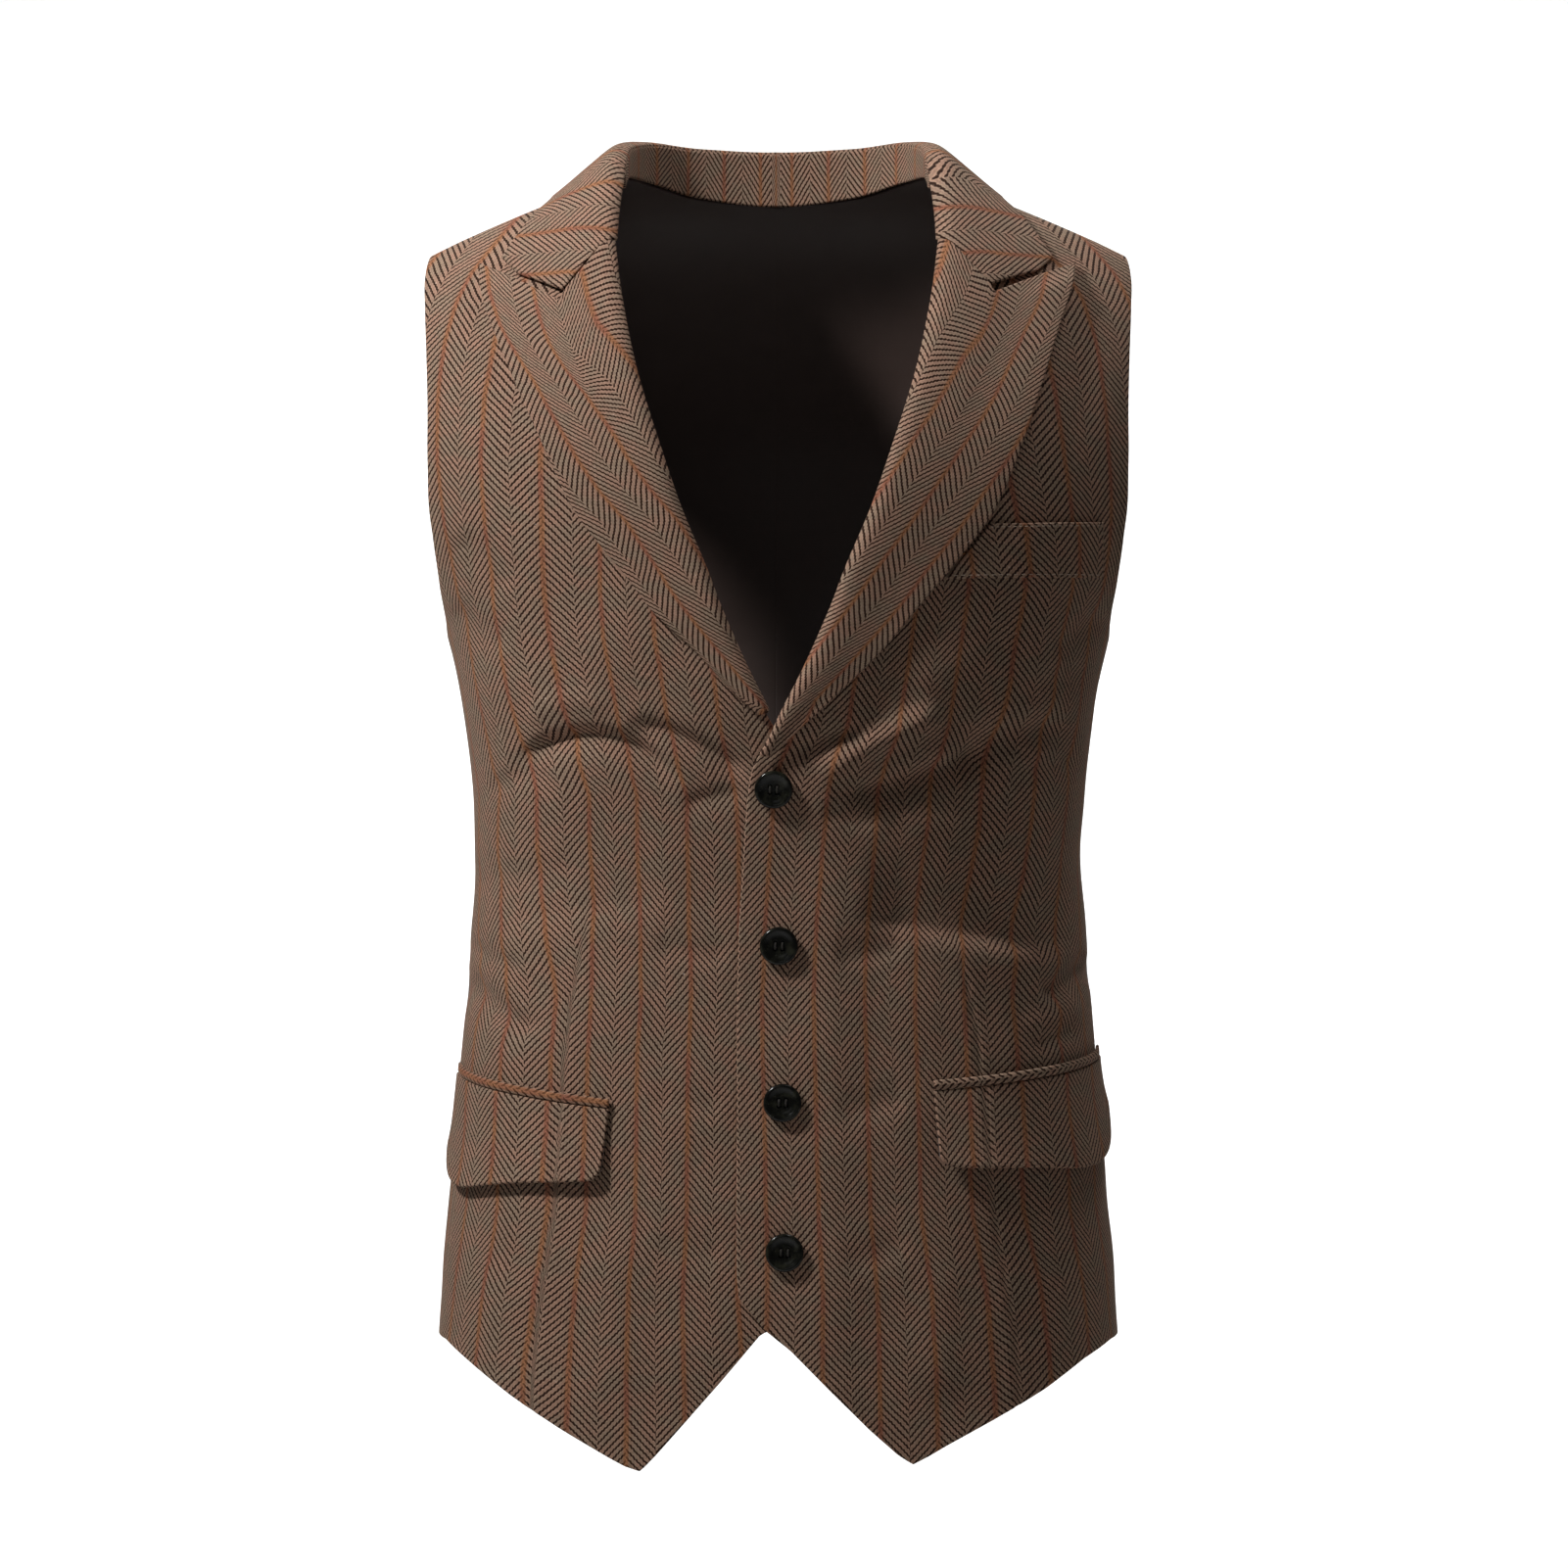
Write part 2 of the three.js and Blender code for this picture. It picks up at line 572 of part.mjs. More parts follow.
// Pockets: inner and outer ends of the mouth line, and the flap's foot at each end
const POCKETS = {
  right: {
    in: 83, zIn: -450.6, out: 161, zOut: -433.4, footIn: 87, zFootIn: -491, zFootOut: -499,
    roundIn: 6, roundOut: 20,
  },
  left: {
    in: 77.7, zIn: -441.3, out: 162, zOut: -425.2, footIn: 80.5, zFootIn: -484, zFootOut: -489.5,
    roundIn: 6, roundOut: 34,
  },
};
const JET_HEIGHT = 4.6;
const FLAP_LENGTH = 100;
const FLAP_SAG = 2.5; // how much its foot bows up in the middle
const FLAP_STAND = 2.8; // how far its foot stands off the front

function jet(name, side) {
  const k = POCKETS[side > 0 ? "left" : "right"];
  const a = chart(k.in, k.zIn, FRONT).turn;
  const b = chart(k.out, k.zOut, FRONT).turn;
  const surface = (c, r) => {
    const turn = mix(a, b, c);
    const here = atTurn(turn, WAIST_DOWN, side, FRONT);
    const z = mix(k.zIn, k.zOut, c) - r * JET_HEIGHT;
    const down = downOf(ridge(side * here.x) - z, FRONT);
    return onTurn(turn, down, LAY_GAP + STRIP_WALL / 2, side, FRONT);
  };
  return wall(name, surface, steps(0, 1, 12), [0, 0.5, 1], STRIP_WALL, TWEED);
}

function flap(name, side) {
  const k = POCKETS[side > 0 ? "left" : "right"];
  const a = chart(k.in, k.zIn, FRONT).turn;
  const b = chart(k.out, k.zOut, FRONT).turn;
  const low = chart(k.footIn, k.zFootIn, FRONT).turn;
  const round = (d, radius) => {
    const t = clamp(1 - d / radius, 0, CORNER_END);
    return radius * (1 - Math.sqrt(1 - t * t));
  };
  const surface = (c, r) => {
    const turn = mix(mix(a, low, r), b, c);
    const here = atTurn(turn, WAIST_DOWN, side, FRONT);
    const top = mix(k.zIn, k.zOut, c) - JET_HEIGHT - SEAM_GAP;
    const foot = mix(k.zFootIn, k.zFootOut, c) + FLAP_SAG * Math.sin(Math.PI * c);
    const lift =
      round(c * FLAP_LENGTH, k.roundIn) + round((1 - c) * FLAP_LENGTH, k.roundOut);
    const z = mix(top, foot + lift, r);
    const down = downOf(ridge(side * here.x) - z, FRONT);
    const stand = LAY_GAP + FLAP_WALL / 2 + RELIEF + FLAP_STAND * r * r;
    return onTurn(turn, down, stand, side, FRONT);
  };
  const columns = [0, 0.015, 0.045, 0.09, ...steps(0.18, 0.78, 7), 0.86, 0.92, 0.96, 0.985, 1];
  return wall(name, surface, columns, steps(0, 1, 5), FLAP_WALL, TWEED);
}

// Breast welt: corners of its parallelogram
const WELT = {
  topIn: 105.5, topOut: 162.5, zTopIn: -164.6, zTopOut: -162.2, footIn: 84, height: 27.5,
};
function welt(name) {
  const surface = (c, r) => {
    const top = mix(WELT.zTopIn, WELT.zTopOut, c);
    const z = top - r * WELT.height;
    const a = mix(WELT.topIn, WELT.footIn, r);
    const out = mix(a, WELT.topOut, c);
    const { turn, down } = chart(out, z, FRONT);
    return onTurn(turn, down, LAY_GAP + STRIP_WALL / 2, 1, FRONT);
  };
  return wall(name, surface, steps(0, 1, 10), steps(0, 1, 4), STRIP_WALL, TWEED);
}

// Buttons: a dished disc with a raised rim and four holes
const BUTTON_RADIUS = 9.5;
const BUTTON_SIDES = 28;
const HOLE_SIDES = 8;
const BUTTON_FLOOR = 1.8; // height of the dish's middle
const HOLE_RADIUS = 0.95;
const HOLE_OFFSET = 1.75;
const BUTTON_PROFILE = [
  { out: 7.7, up: 0 },
  { out: 9.1, up: 0.7 },
  { out: BUTTON_RADIUS, up: 1.7 },
  { out: 9.1, up: 2.8 },
  { out: 8.3, up: 3.2 },
  { out: 7.4, up: 3.0 },
  { out: 5.6, up: 2.2 },
  { out: 3.6, up: 1.9 },
];
const BUTTONS = [
  { name: "button_1", x: -2.4, z: -296 },
  { name: "button_2", x: 0.2, z: -374.5 },
  { name: "button_3", x: 2.0, z: -452.6 },
  { name: "button_4", x: 3.0, z: -526.7 },
];

function turned(profile, sides, topUp, bottomUp) {
  const positions = [];
  const index = [];
  const rim = profile.length;
  for (let k = 0; k < sides; k += 1) {
    const a = (2 * Math.PI * k) / sides;
    for (const row of profile) positions.push(row.out * Math.cos(a), row.out * Math.sin(a), row.up);
  }
  positions.push(0, 0, bottomUp, 0, 0, topUp);
  const bottom = sides * rim;
  for (let k = 0; k < sides; k += 1) {
    const a = k * rim;
    const b = ((k + 1) % sides) * rim;
    for (let j = 0; j < rim - 1; j += 1) {
      index.push(a + j, b + j, b + j + 1, a + j, b + j + 1, a + j + 1);
    }
    index.push(bottom, b, a, bottom + 1, a + rim - 1, b + rim - 1);
  }
  return { positions, index };
}

const wasm = await Module();
wasm.setup();
const solid = ({ positions, index }) =>
  new wasm.Manifold(
    new wasm.Mesh({
      numProp: 3,
      vertProperties: new Float32Array(positions),
      triVerts: new Uint32Array(index),
    }),
  );

function buttonBody() {
  let disc = solid(turned(BUTTON_PROFILE, BUTTON_SIDES, BUTTON_FLOOR, 0));
  const bore = turned(
    [
      { out: HOLE_RADIUS, up: -1 },
      { out: HOLE_RADIUS, up: 4 },
    ],
    HOLE_SIDES,
    4,
    -1,
  );
  for (const sx of [-1, 1]) {
    for (const sy of [-1, 1]) {
      const hole = { index: bore.index, positions: [...bore.positions] };
      for (let k = 0; k < hole.positions.length; k += 3) {
        hole.positions[k] += sx * HOLE_OFFSET;
        hole.positions[k + 1] += sy * HOLE_OFFSET;
      }
      disc = disc.subtract(solid(hole));
    }
  }
  const mesh = disc.getMesh();
  return { positions: [...mesh.vertProperties], index: [...mesh.triVerts] };
}

function button(row, body) {
  const { turn, down } = chart(row.x - CENTRE_SHIFT, row.z, FRONT);
  const seat = onTurn(turn, down, LAY_GAP, 1, FRONT);
  const above = onTurn(turn, down, LAY_GAP + 5, 1, FRONT);
  const up = above.sub(seat).normalize();
  const right = new THREE.Vector3(1, 0, 0).addScaledVector(up, -up.x).normalize();
  const top = new THREE.Vector3().crossVectors(up, right);
  const frame = new THREE.Matrix4().makeBasis(right, top, up).setPosition(seat);
  const positions = [];
  for (let k = 0; k < body.positions.length; k += 3) {
    const p = new THREE.Vector3().fromArray(body.positions, k).applyMatrix4(frame);
    positions.push(p.x, p.y, p.z);
  }
  return named(row.name, positions, body.index, GLOSS);
}

// Finishes
const TWEED = { color: 0x6b5143, roughness: 0.95, metalness: 0 };
const SATIN = { color: 0x4a342a, roughness: 0.55, metalness: 0 };
const GLOSS = { color: 0x1c1a16, roughness: 0.2, metalness: 0 };

const group = new THREE.Group();
group.name = "suit_waistcoat";
const body = buttonBody();
group.add(
  front("front_left", 1),
  front("front_right", -1),
  back("back_left", 1),
  back("back_right", -1),
  lapel("lapel_left", 1),
  lapel("lapel_right", -1),
  collar("collar"),
  collarStand("collar_stand"),
  jet("jet_left", 1),
  jet("jet_right", -1),
  flap("flap_left", 1),
  flap("flap_right", -1),
  welt("breast_welt"),
  ...BUTTONS.map((row) => button(row, body)),
);
export default group;
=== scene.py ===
"""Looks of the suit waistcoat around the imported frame: tweed, satin, buttons, and the folds of worn cloth.

Lengths are in mm unless a name or a comment says otherwise. +Z is up, -Y out of the wearer's chest and
+X to the wearer's left. Cloth is placed on one figure by its turn round the body or its distance out
from the centre, and by the length of cloth down from the shoulder line.
"""

import logging
import math
from dataclasses import dataclass
from enum import Enum
from typing import Any, Callable, Sequence

import bpy
import numpy as np
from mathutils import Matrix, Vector


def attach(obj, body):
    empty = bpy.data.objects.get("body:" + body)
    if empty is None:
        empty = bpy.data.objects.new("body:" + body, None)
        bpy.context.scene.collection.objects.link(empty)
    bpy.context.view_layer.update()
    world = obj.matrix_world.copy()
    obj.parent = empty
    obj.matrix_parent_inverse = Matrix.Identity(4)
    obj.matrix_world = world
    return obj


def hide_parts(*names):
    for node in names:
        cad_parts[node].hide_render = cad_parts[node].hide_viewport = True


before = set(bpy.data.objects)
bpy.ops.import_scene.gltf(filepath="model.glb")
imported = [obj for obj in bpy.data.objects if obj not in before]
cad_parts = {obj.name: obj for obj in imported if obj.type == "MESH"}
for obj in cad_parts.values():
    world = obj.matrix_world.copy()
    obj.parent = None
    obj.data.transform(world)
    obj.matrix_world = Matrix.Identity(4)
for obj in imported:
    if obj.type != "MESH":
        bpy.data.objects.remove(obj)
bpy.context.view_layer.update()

log = logging.getLogger("waistcoat")
Array = np.ndarray
MM = 0.001
UV_NAME = "Cloth"
QUARTER = math.pi / 2
FULL = 2 * math.pi


# Named options


class Side(Enum):
    """The wearer's side a piece is on, as the sign of X."""

    LEFT = 1
    RIGHT = -1

    @property
    def word(self) -> str:
        """The side as it stands in a node's name."""
        return self.name.lower()


class Half(Enum):
    """Front or back of the body: the drop in which it fills out, and the sign of its depth."""

    FRONT = (190.0, 1)
    BACK = (140.0, -1)

    @property
    def dome(self) -> float:
        """Drop below the shoulder line in which the body reaches its depth, in mm."""
        return self.value[0]

    @property
    def sign(self) -> int:
        """+1 for the front, -1 for the back."""
        return self.value[1]


# Small sums


def ease(t: Array | float) -> Array:
    """A soft step: 0 below 0, 1 above 1, and 3t^2 - 2t^3 between."""
    k = np.clip(t, 0.0, 1.0)
    return k * k * (3.0 - 2.0 * k)


def mix(a: Array | float, b: Array | float, t: Array | float) -> Array:
    """The value a share t of the way from a to b."""
    return a + (b - a) * t


def unit(v: Array) -> Array:
    """Vectors along the last axis, scaled to length one."""
    return v / np.maximum(np.linalg.norm(v, axis=-1, keepdims=True), 1e-12)


def vec(x: Array, y: Array, z: Array) -> Array:
    """Points from three arrays of coordinates."""
    return np.stack(np.broadcast_arrays(x, y, z), axis=-1)


@dataclass(frozen=True)
class Table:
    """Rows of named numbers, read as a smooth curve or as straight pieces."""

    columns: tuple[str, ...]
    rows: tuple[tuple[float, ...], ...]

    def column(self, name: str) -> Array:
        """One column as an array."""
        return np.array([row[self.columns.index(name)] for row in self.rows], float)

    def read(self, at: str, name: str, value: Array | float) -> Array:
        """Reads a column on a cubic through the rows, each slope taken between its neighbours.

        Args:
            at: The column that the value is measured in.
            name: The column to read.
            value: Where to read it, straight on beyond the first and last rows.

        Returns:
            The column's value at each place.
        """
        x, y = self.column(at), self.column(name)
        slope = np.empty_like(y)
        slope[1:-1] = (y[2:] - y[:-2]) / (x[2:] - x[:-2])
        slope[0] = (y[1] - y[0]) / (x[1] - x[0])
        slope[-1] = (y[-1] - y[-2]) / (x[-1] - x[-2])
        v = np.asarray(value, float)
        i = np.clip(np.searchsorted(x, v, side="right") - 1, 0, len(x) - 2)
        span = x[i + 1] - x[i]
        t = np.clip((v - x[i]) / span, 0.0, 1.0)
        inside = (
            mix(y[i], y[i + 1], ease(t))
            + t * (1 - t) ** 2 * span * slope[i]
            - t * t * (1 - t) * span * slope[i + 1]
        )
        return inside + slope[0] * np.minimum(v - x[0], 0) + slope[-1] * np.maximum(v - x[-1], 0)

    def straight(self, at: str, name: str, value: Array | float) -> Array:
        """Reads a column on straight pieces between the rows."""
        return np.interp(value, self.column(at), self.column(name))


# The figure that the waistcoat is cut for


@dataclass(frozen=True)
class Figure:
    """The worn form: rounded rings under a shoulder line, in mm."""

    squareness: float = 2.35
    centre_shift: float = -1.5
    panel_top: float = 12.0
    panel_depth: float = 88.0
    chords: int = 25
    turn_rounds: int = 7
    rings: Table = Table(
        ("z", "width", "front", "back"),
        (
            (-650, 179, 112, 103),
            (-547, 173, 111, 102),
            (-493, 168, 109, 98),
            (-431, 163, 106, 90),
            (-378, 159, 104, 84),
            (-319, 156, 107, 86),
            (-253, 163, 117, 97),
            (-213, 172, 120, 103),
            (-190, 181, 120, 105),
            (-160, 195, 119, 106),
            (-120, 207, 118, 106),
            (-60, 212, 116, 102),
            (40, 208, 116, 100),
        ),
    )
    shoulder: Table = Table(
        ("out", "z"),
        ((0, 25), (40, 24), (78, 19.6), (121, 3.5), (160, -13), (182, -23.5), (205, -34)),
    )

    def ridge(self, out: Array) -> Array:
        """Height of the shoulder line at a distance from the centre."""
        return self.shoulder.read("out", "z", np.abs(out))

    def width(self, z: Array) -> Array:
        """Half width of the ring at a height."""
        return self.rings.read("z", "width", z)

    def fullness(self, wide: Array) -> Array:
        """Depth left at a share of the half width: (1 - wide^n)^(1/n)."""
        n = self.squareness
        return (1 - np.minimum(np.abs(wide), 1) ** n) ** (1 / n)

    def drop(self, down: Array, half: Half) -> Array:
        """Height lost over a length of cloth down from the shoulder: a quarter circle, then straight.

        Args:
            down: Length of cloth, of either sign.
            half: Front or back.

        Returns:
            The height lost, from 0 at the shoulder line.
        """
        swing = np.abs(down) / half.dome
        straight = half.dome + np.abs(down) - half.dome * math.pi / 2
        return np.where(swing < QUARTER, half.dome * (1 - np.cos(swing)), straight)

    def down(self, drop: Array, half: Half) -> Array:
        """Length of cloth down from the shoulder for a height lost: drop() read the other way.

        Args:
            drop: Height lost.
            half: Front or back.

        Returns:
            The length down, 0 where nothing is lost.
        """
        d = np.maximum(drop, 0.0)
        turned = half.dome * np.arccos(1 - np.minimum(d / half.dome, 1.0))
        return np.where(d < half.dome, turned, half.dome * math.pi / 2 + d - half.dome)

    def bulge(self, down: Array, half: Half) -> Array:
        """Share of the full depth reached at a length down."""
        return np.sin(np.clip(down / half.dome, -QUARTER, QUARTER))

    def reach(self, turn: Array) -> tuple[Array, Array]:
        """Width and depth shares of the ring at a turn, on |x|^n + |y|^n = 1.

        Args:
            turn: Angle round the ring from the front centre.

        Returns:
            The two shares, each from -1 to 1.
        """
        s, c, n = np.sin(turn), np.cos(turn), self.squareness
        r = (np.abs(s) ** n + np.abs(c) ** n) ** (-1 / n)
        return s * r, c * r

    def at_turn(self, turn: Array, down: Array, side: Side, half: Half) -> Array:
        """Point of the body by its turn round the ring and its length down.

        Width and height depend on each other, so they are settled by a few rounds of substitution.

        Args:
            turn: Angle round the ring, 0 at the front centre and pi at the back centre.
            down: Length of cloth down from the shoulder.
            side: The wearer's side.
            half: Front or back.

        Returns:
            The points.
        """
        wide, deep = self.reach(turn)
        drop = self.drop(down, half)
        z = -drop
        for _ in range(self.turn_rounds):
            x = wide * self.width(z)
            z = self.ridge(x) - drop
        depth = self.rings.read("z", half.name.lower(), z)
        y = -deep * depth * self.bulge(down, half)
        return vec(side.value * x + self.centre_shift * (1 - np.abs(wide)), y, z)

    def at_out(self, out: Array, down: Array, side: Array | int) -> Array:
        """Point of the body by its distance out and length down.

        Args:
            out: Distance from the centre.
            down: Length of cloth down from the shoulder, + to the front and - to the back.
            side: The wearer's side, or its sign at each point.

        Returns:
            The points.
        """
        front = np.asarray(down) >= 0
        drop = np.where(front, self.drop(down, Half.FRONT), self.drop(down, Half.BACK))
        z = self.ridge(out) - drop
        wide = out / self.width(z)
        depth = np.where(front, self.rings.read("z", "front", z), self.rings.read("z", "back", z))
        swell = np.where(front, self.bulge(down, Half.FRONT), self.bulge(down, Half.BACK))
        y = -self.fullness(wide) * depth * swell
        return vec(side * out + self.centre_shift * (1 - np.abs(wide)), y, z)

    def chart(self, out: Array, z: Array, half: Half) -> tuple[Array, Array]:
        """Turn and length down of a point given by its distance out and height.

        Args:
            out: Distance from the centre, taken at the ring's half width where it is more.
            z: Height.
            half: Front or back.

        Returns:
            The turn and the length down.
        """
        wide = np.clip(out / self.width(z), -1, 1)
        turn = np.arctan2(wide, self.fullness(wide) * half.sign)
        return turn, self.down(self.ridge(wide * self.width(z)) - z, half)

    def cloth_uv(self, turn: Array, down: Array, half: Half) -> tuple[Array, Array]:
        """Cloth measured along the body: round the ring from the centre, and down by height.

        Round is a sum of short chords of the ring. Down is the same for a whole ring: a sum of
        short chords of the shoulder's curve over the middle of a panel.

        Args:
            turn: Angle round the ring.
            down: Length of cloth down from the shoulder.
            half: Front or back.

        Returns:
            The length round, with a sign, and the length down.
        """
        steps = np.linspace(0, 1, self.chords)
        start = 0.0 if half is Half.FRONT else math.pi
        z = self.at_turn(turn, down, Side.LEFT, half)[..., 2]
        wide, deep = self.reach(start + (turn - start)[..., None] * steps)
        across = np.diff(wide, axis=-1) * self.width(z)[..., None]
        depth = self.rings.read("z", half.name.lower(), z) * self.bulge(down, half)
        inward = np.diff(deep, axis=-1) * depth[..., None]
        around = np.sqrt(across**2 + inward**2).sum(-1) * np.sign(turn - start + 1e-9)
        level = self.down(self.panel_top - z, half)
        swing = np.minimum(level / half.dome, QUARTER)[..., None] * steps
        mid = (swing[..., 1:] + swing[..., :-1]) / 2
        slope = self.panel_depth / half.dome
        speed = np.hypot(np.sin(mid), slope * np.cos(mid))
        length = (speed * np.diff(swing, axis=-1)).sum(-1) * half.dome
        return around, length + np.maximum(level - half.dome * math.pi / 2, 0)


FIGURE = Figure()


# Folds of the worn cloth


FOLD_COLUMNS = ("side", "out0", "z0", "out1", "z1", "bow", "above", "below", "depth")


@dataclass(frozen=True)
class Folds:
    """Soft troughs (depth below 0) and ridges, by their two ends as seen from the front or the back.

    Bow is the rise of the line's middle over its chord, above and below are the widths on its two sides.
    """

    fade_share: float = 4.5
    ripple_top: float = -150.0
    ripple_fade: float = 90.0
    side_from: float = 10.0
    side_fade: float = 20.0
    rows: Table = Table(
        FOLD_COLUMNS,
        (
            (-1, 139, -286, 46, -296, 21, 4.5, 9, -5.4),
            (-1, 78, -262, 12, -293, 5, 4.5, 8, -4.2),
            (-1, 150, -364, 52, -352, 3, 22, 9, -2.6),
            (-1, 162, -390, 120, -420, -3, 6, 9, -3.4),
            (-1, 128, -262, 82, -256, 6, 6, 6, 1.6),
            (-1, 152, -300, 108, -292, 5, 5, 7, -1.6),
            (-1, 50, -306, 14, -298, 2, 4, 6, -1.8),
            (-1, 158, -344, 96, -334, 0, 8, 10, -1.4),
            (-1, 160, -376, 128, -388, 0, 5, 6, -1.6),
            (-1, 64, -374, 22, -380, -2, 8, 5, -1.4),
            (-1, 66, -449, 26, -455, -2, 9, 6, -1.3),
            (-1, 62, -521, 26, -530, -2, 9, 6, -1.2),
            (-1, 142, -520, 120, -580, 4, 10, 9, -1.3),
            (-1, 88, -520, 84, -604, 3, 10, 10, 1.0),
            (-1, 164, -168, 134, -200, 2, 8, 8, -1.6),
            (-1, 168, -203, 136, -228, 0, 6, 7, -1.4),
            (1, 18, -292, 86, -256, 2, 7, 6, 4.4),
            (1, 24, -301, 110, -276, -2, 4.5, 10, -6.0),
            (1, 84, -280, 152, -264, 2, 9, 12, -4.8),
            (1, 4, -281, 44, -266, 2, 4.5, 6, -2.8),
            (1, 36, -356, 158, -374, -3, 30, 6.5, -5.6),
            (1, 162, -384, 132, -402, 0, 7, 8, -4.0),
            (1, 112, -292, 156, -280, 0, 5, 7, -1.8),
            (1, 20, -306, 50, -312, -2, 5, 6, -1.4),
            (1, 56, -318, 120, -316, 3, 8, 9, 1.4),
            (1, 156, -404, 122, -416, 0, 5, 6, 1.6),
            (1, 154, -419, 124, -426, 0, 4, 4, -1.6),
            (1, 26, -381, 66, -373, -2, 9, 5, -1.6),
            (1, 28, -458, 66, -448, -2, 9, 6, -1.4),
            (1, 30, -533, 66, -521, -2, 9, 6, -1.3),
            (1, 148, -518, 124, -580, 4, 10, 9, -1.5),
            (1, 84, -528, 82, -604, 3, 10, 10, 1.0),
            (1, 168, -206, 138, -229, 0, 6, 7, -1.6),
            (1, 158, -236, 120, -254, 3, 6, 9, -1.8),
            (1, 112, -230, 64, -248, 2, 12, 12, 1.2),
        ),
    )
    behind: Table = Table(
        FOLD_COLUMNS,
        (
            (-1, 4, -331, 96, -316, 4, 8, 14, -3.6),
            (-1, 36, -357, 134, -337, 3, 7, 12, -2.8),
            (-1, 88, -301, 150, -282, 0, 6, 10, -2.4),
            (-1, 16, -389, 88, -377, -3, 12, 8, -1.8),
            (-1, 116, -398, 156, -422, 0, 7, 10, -2.0),
            (-1, 56, -122, 132, -90, 4, 14, 14, -1.8),
            (-1, 70, -514, 64, -579, 3, 13, 12, -1.8),
            (1, 2, -339, 88, -320, 3, 8, 13, -3.2),
            (1, 42, -364, 130, -349, 4, 7, 12, -2.8),
            (1, 84, -308, 152, -280, 0, 6, 10, -2.4),
            (1, 10, -397, 94, -383, -3, 12, 8, -1.9),
            (1, 112, -394, 154, -416, 0, 7, 10, -1.9),
            (1, 50, -116, 126, -94, 4, 14, 14, -1.8),
            (1, 84, -514, 92, -579, 3, 13, 12, -1.8),
        ),
    )
    waves: Table = Table(
        ("height", "along_x", "along_z", "start"),
        (
            (0.28, 0.071, 0.058, 0.4),
            (0.22, -0.045, 0.102, 1.7),
            (0.16, 0.118, -0.037, 2.9),
            (0.12, 0.052, 0.146, 0.9),
        ),
    )

    def depth(self, p: Array, table: Table) -> Array:
        """Depth of a table's folds at points.

        Each fold follows its chord, bowed as a parabola, and fades out at its ends. Across it the
        depth falls off as exp(-s^2), s the distance from the line in widths above or below it.

        Args:
            p: Points of the body.
            table: Folds, in front or back view sizes.

        Returns:
            The depths, one for each point.
        """
        total = np.zeros(p.shape[:-1])
        for side, out0, z0, out1, z1, bow, above, below, depth in table.rows:
            dx, dz = side * (out1 - out0), z1 - z0
            rx, rz = p[..., 0] - side * out0, p[..., 2] - z0
            length = math.hypot(dx, dz)
            up = math.copysign(1.0, dx) / length
            t = np.clip((rx * dx + rz * dz) / length**2, 0, 1)
            s = (rz * dx - rx * dz) * up - bow * 4 * t * (1 - t)
            across = np.exp(-((s / np.where(s > 0, above, below)) ** 2))
            total += depth * ease(np.minimum(t, 1 - t) * self.fade_share) * across
        return total

    def ripple(self, p: Array) -> Array:
        """Slight unevenness of the hanging cloth: the sum of a few slanting sine waves.

        Args:
            p: Points of the body.

        Returns:
            The height of the waves at each.
        """
        x, z = p[..., 0], p[..., 2]
        return sum(a * np.sin(kx * x + kz * z + s) for a, kx, kz, s in self.waves.rows)

    def at(self, p: Array) -> Array:
        """Depth of all folds at points of the body, the front's eased into the back's at the side.

        Args:
            p: Points of the body.

        Returns:
            The depths, below 0 in a trough.
        """
        fade = ease((self.ripple_top - p[..., 2]) / self.ripple_fade)
        front = self.depth(p, self.rows) + self.ripple(p) * fade
        back = self.depth(p, self.behind) + self.ripple(p * (-1, 1, 1)) * fade
        ahead = self.side_from - p[..., 1]
        return np.where(ahead > 0, front * ease(ahead / self.side_fade), back)


FOLDS = Folds()


# Darts and seams pressed into the fronts


@dataclass(frozen=True)
class Darts:
    """The long dart of each front: its line down the cloth, its groove and what it takes in."""

    groove: float = 1.0
    half_width: float = 1.1
    swell: float = 0.5
    swell_width: float = 5.0
    top: float = -346.0
    top_fade: float = 60.0
    seam_width: float = 1.2
    lines: Table = Table(
        ("z", "right", "left"),
        (
            (-608, 123, 120),
            (-569, 120.5, 117.9),
            (-536, 115.5, 112),
            (-501, 110.7, 107),
            (-442, 106.4, 101.5),
            (-416, 104.5, 98.9),
            (-382, 99, 91.5),
            (-350, 93, 86),
        ),
    )
    taken_in: Table = Table(("side", "mm"), ((-1, 8.4), (1, 2.2)))

    def offset(self, p: Array, side: Side) -> Array:
        """Signed distance from the dart's line, + towards the side of the body."""
        line = self.lines.read("z", side.word, p[..., 2])
        return side.value * (p[..., 0] - FIGURE.centre_shift * 0.4) - line

    def strength(self, p: Array) -> Array:
        """How much of the dart there is at a height: none above its top."""
        return ease((self.top - p[..., 2]) / self.top_fade)

    def depth(self, p: Array, side: Side) -> Array:
        """A narrow groove along the line, -groove exp(-(off/half width)^2), between two low swells.

        Args:
            p: Points of a front.
            side: Which front.

        Returns:
            The depth at each point.
        """
        off = self.offset(p, side) / self.half_width
        swell = self.swell * np.exp(-((off / self.swell_width) ** 2))
        return (swell - self.groove * np.exp(-(off**2))) * self.strength(p)

    def intake(self, p: Array, side: Side) -> Array:
        """Cloth hidden in the dart, added to the pattern's run beyond its line."""
        taken = self.taken_in.straight("side", "mm", side.value)
        return taken * self.strength(p) * ease(self.offset(p, side) / self.seam_width + 0.5)


DARTS = Darts()


# Building meshes


NEAR_EDGE = (0.18, 0.45, 0.8, 1.3)


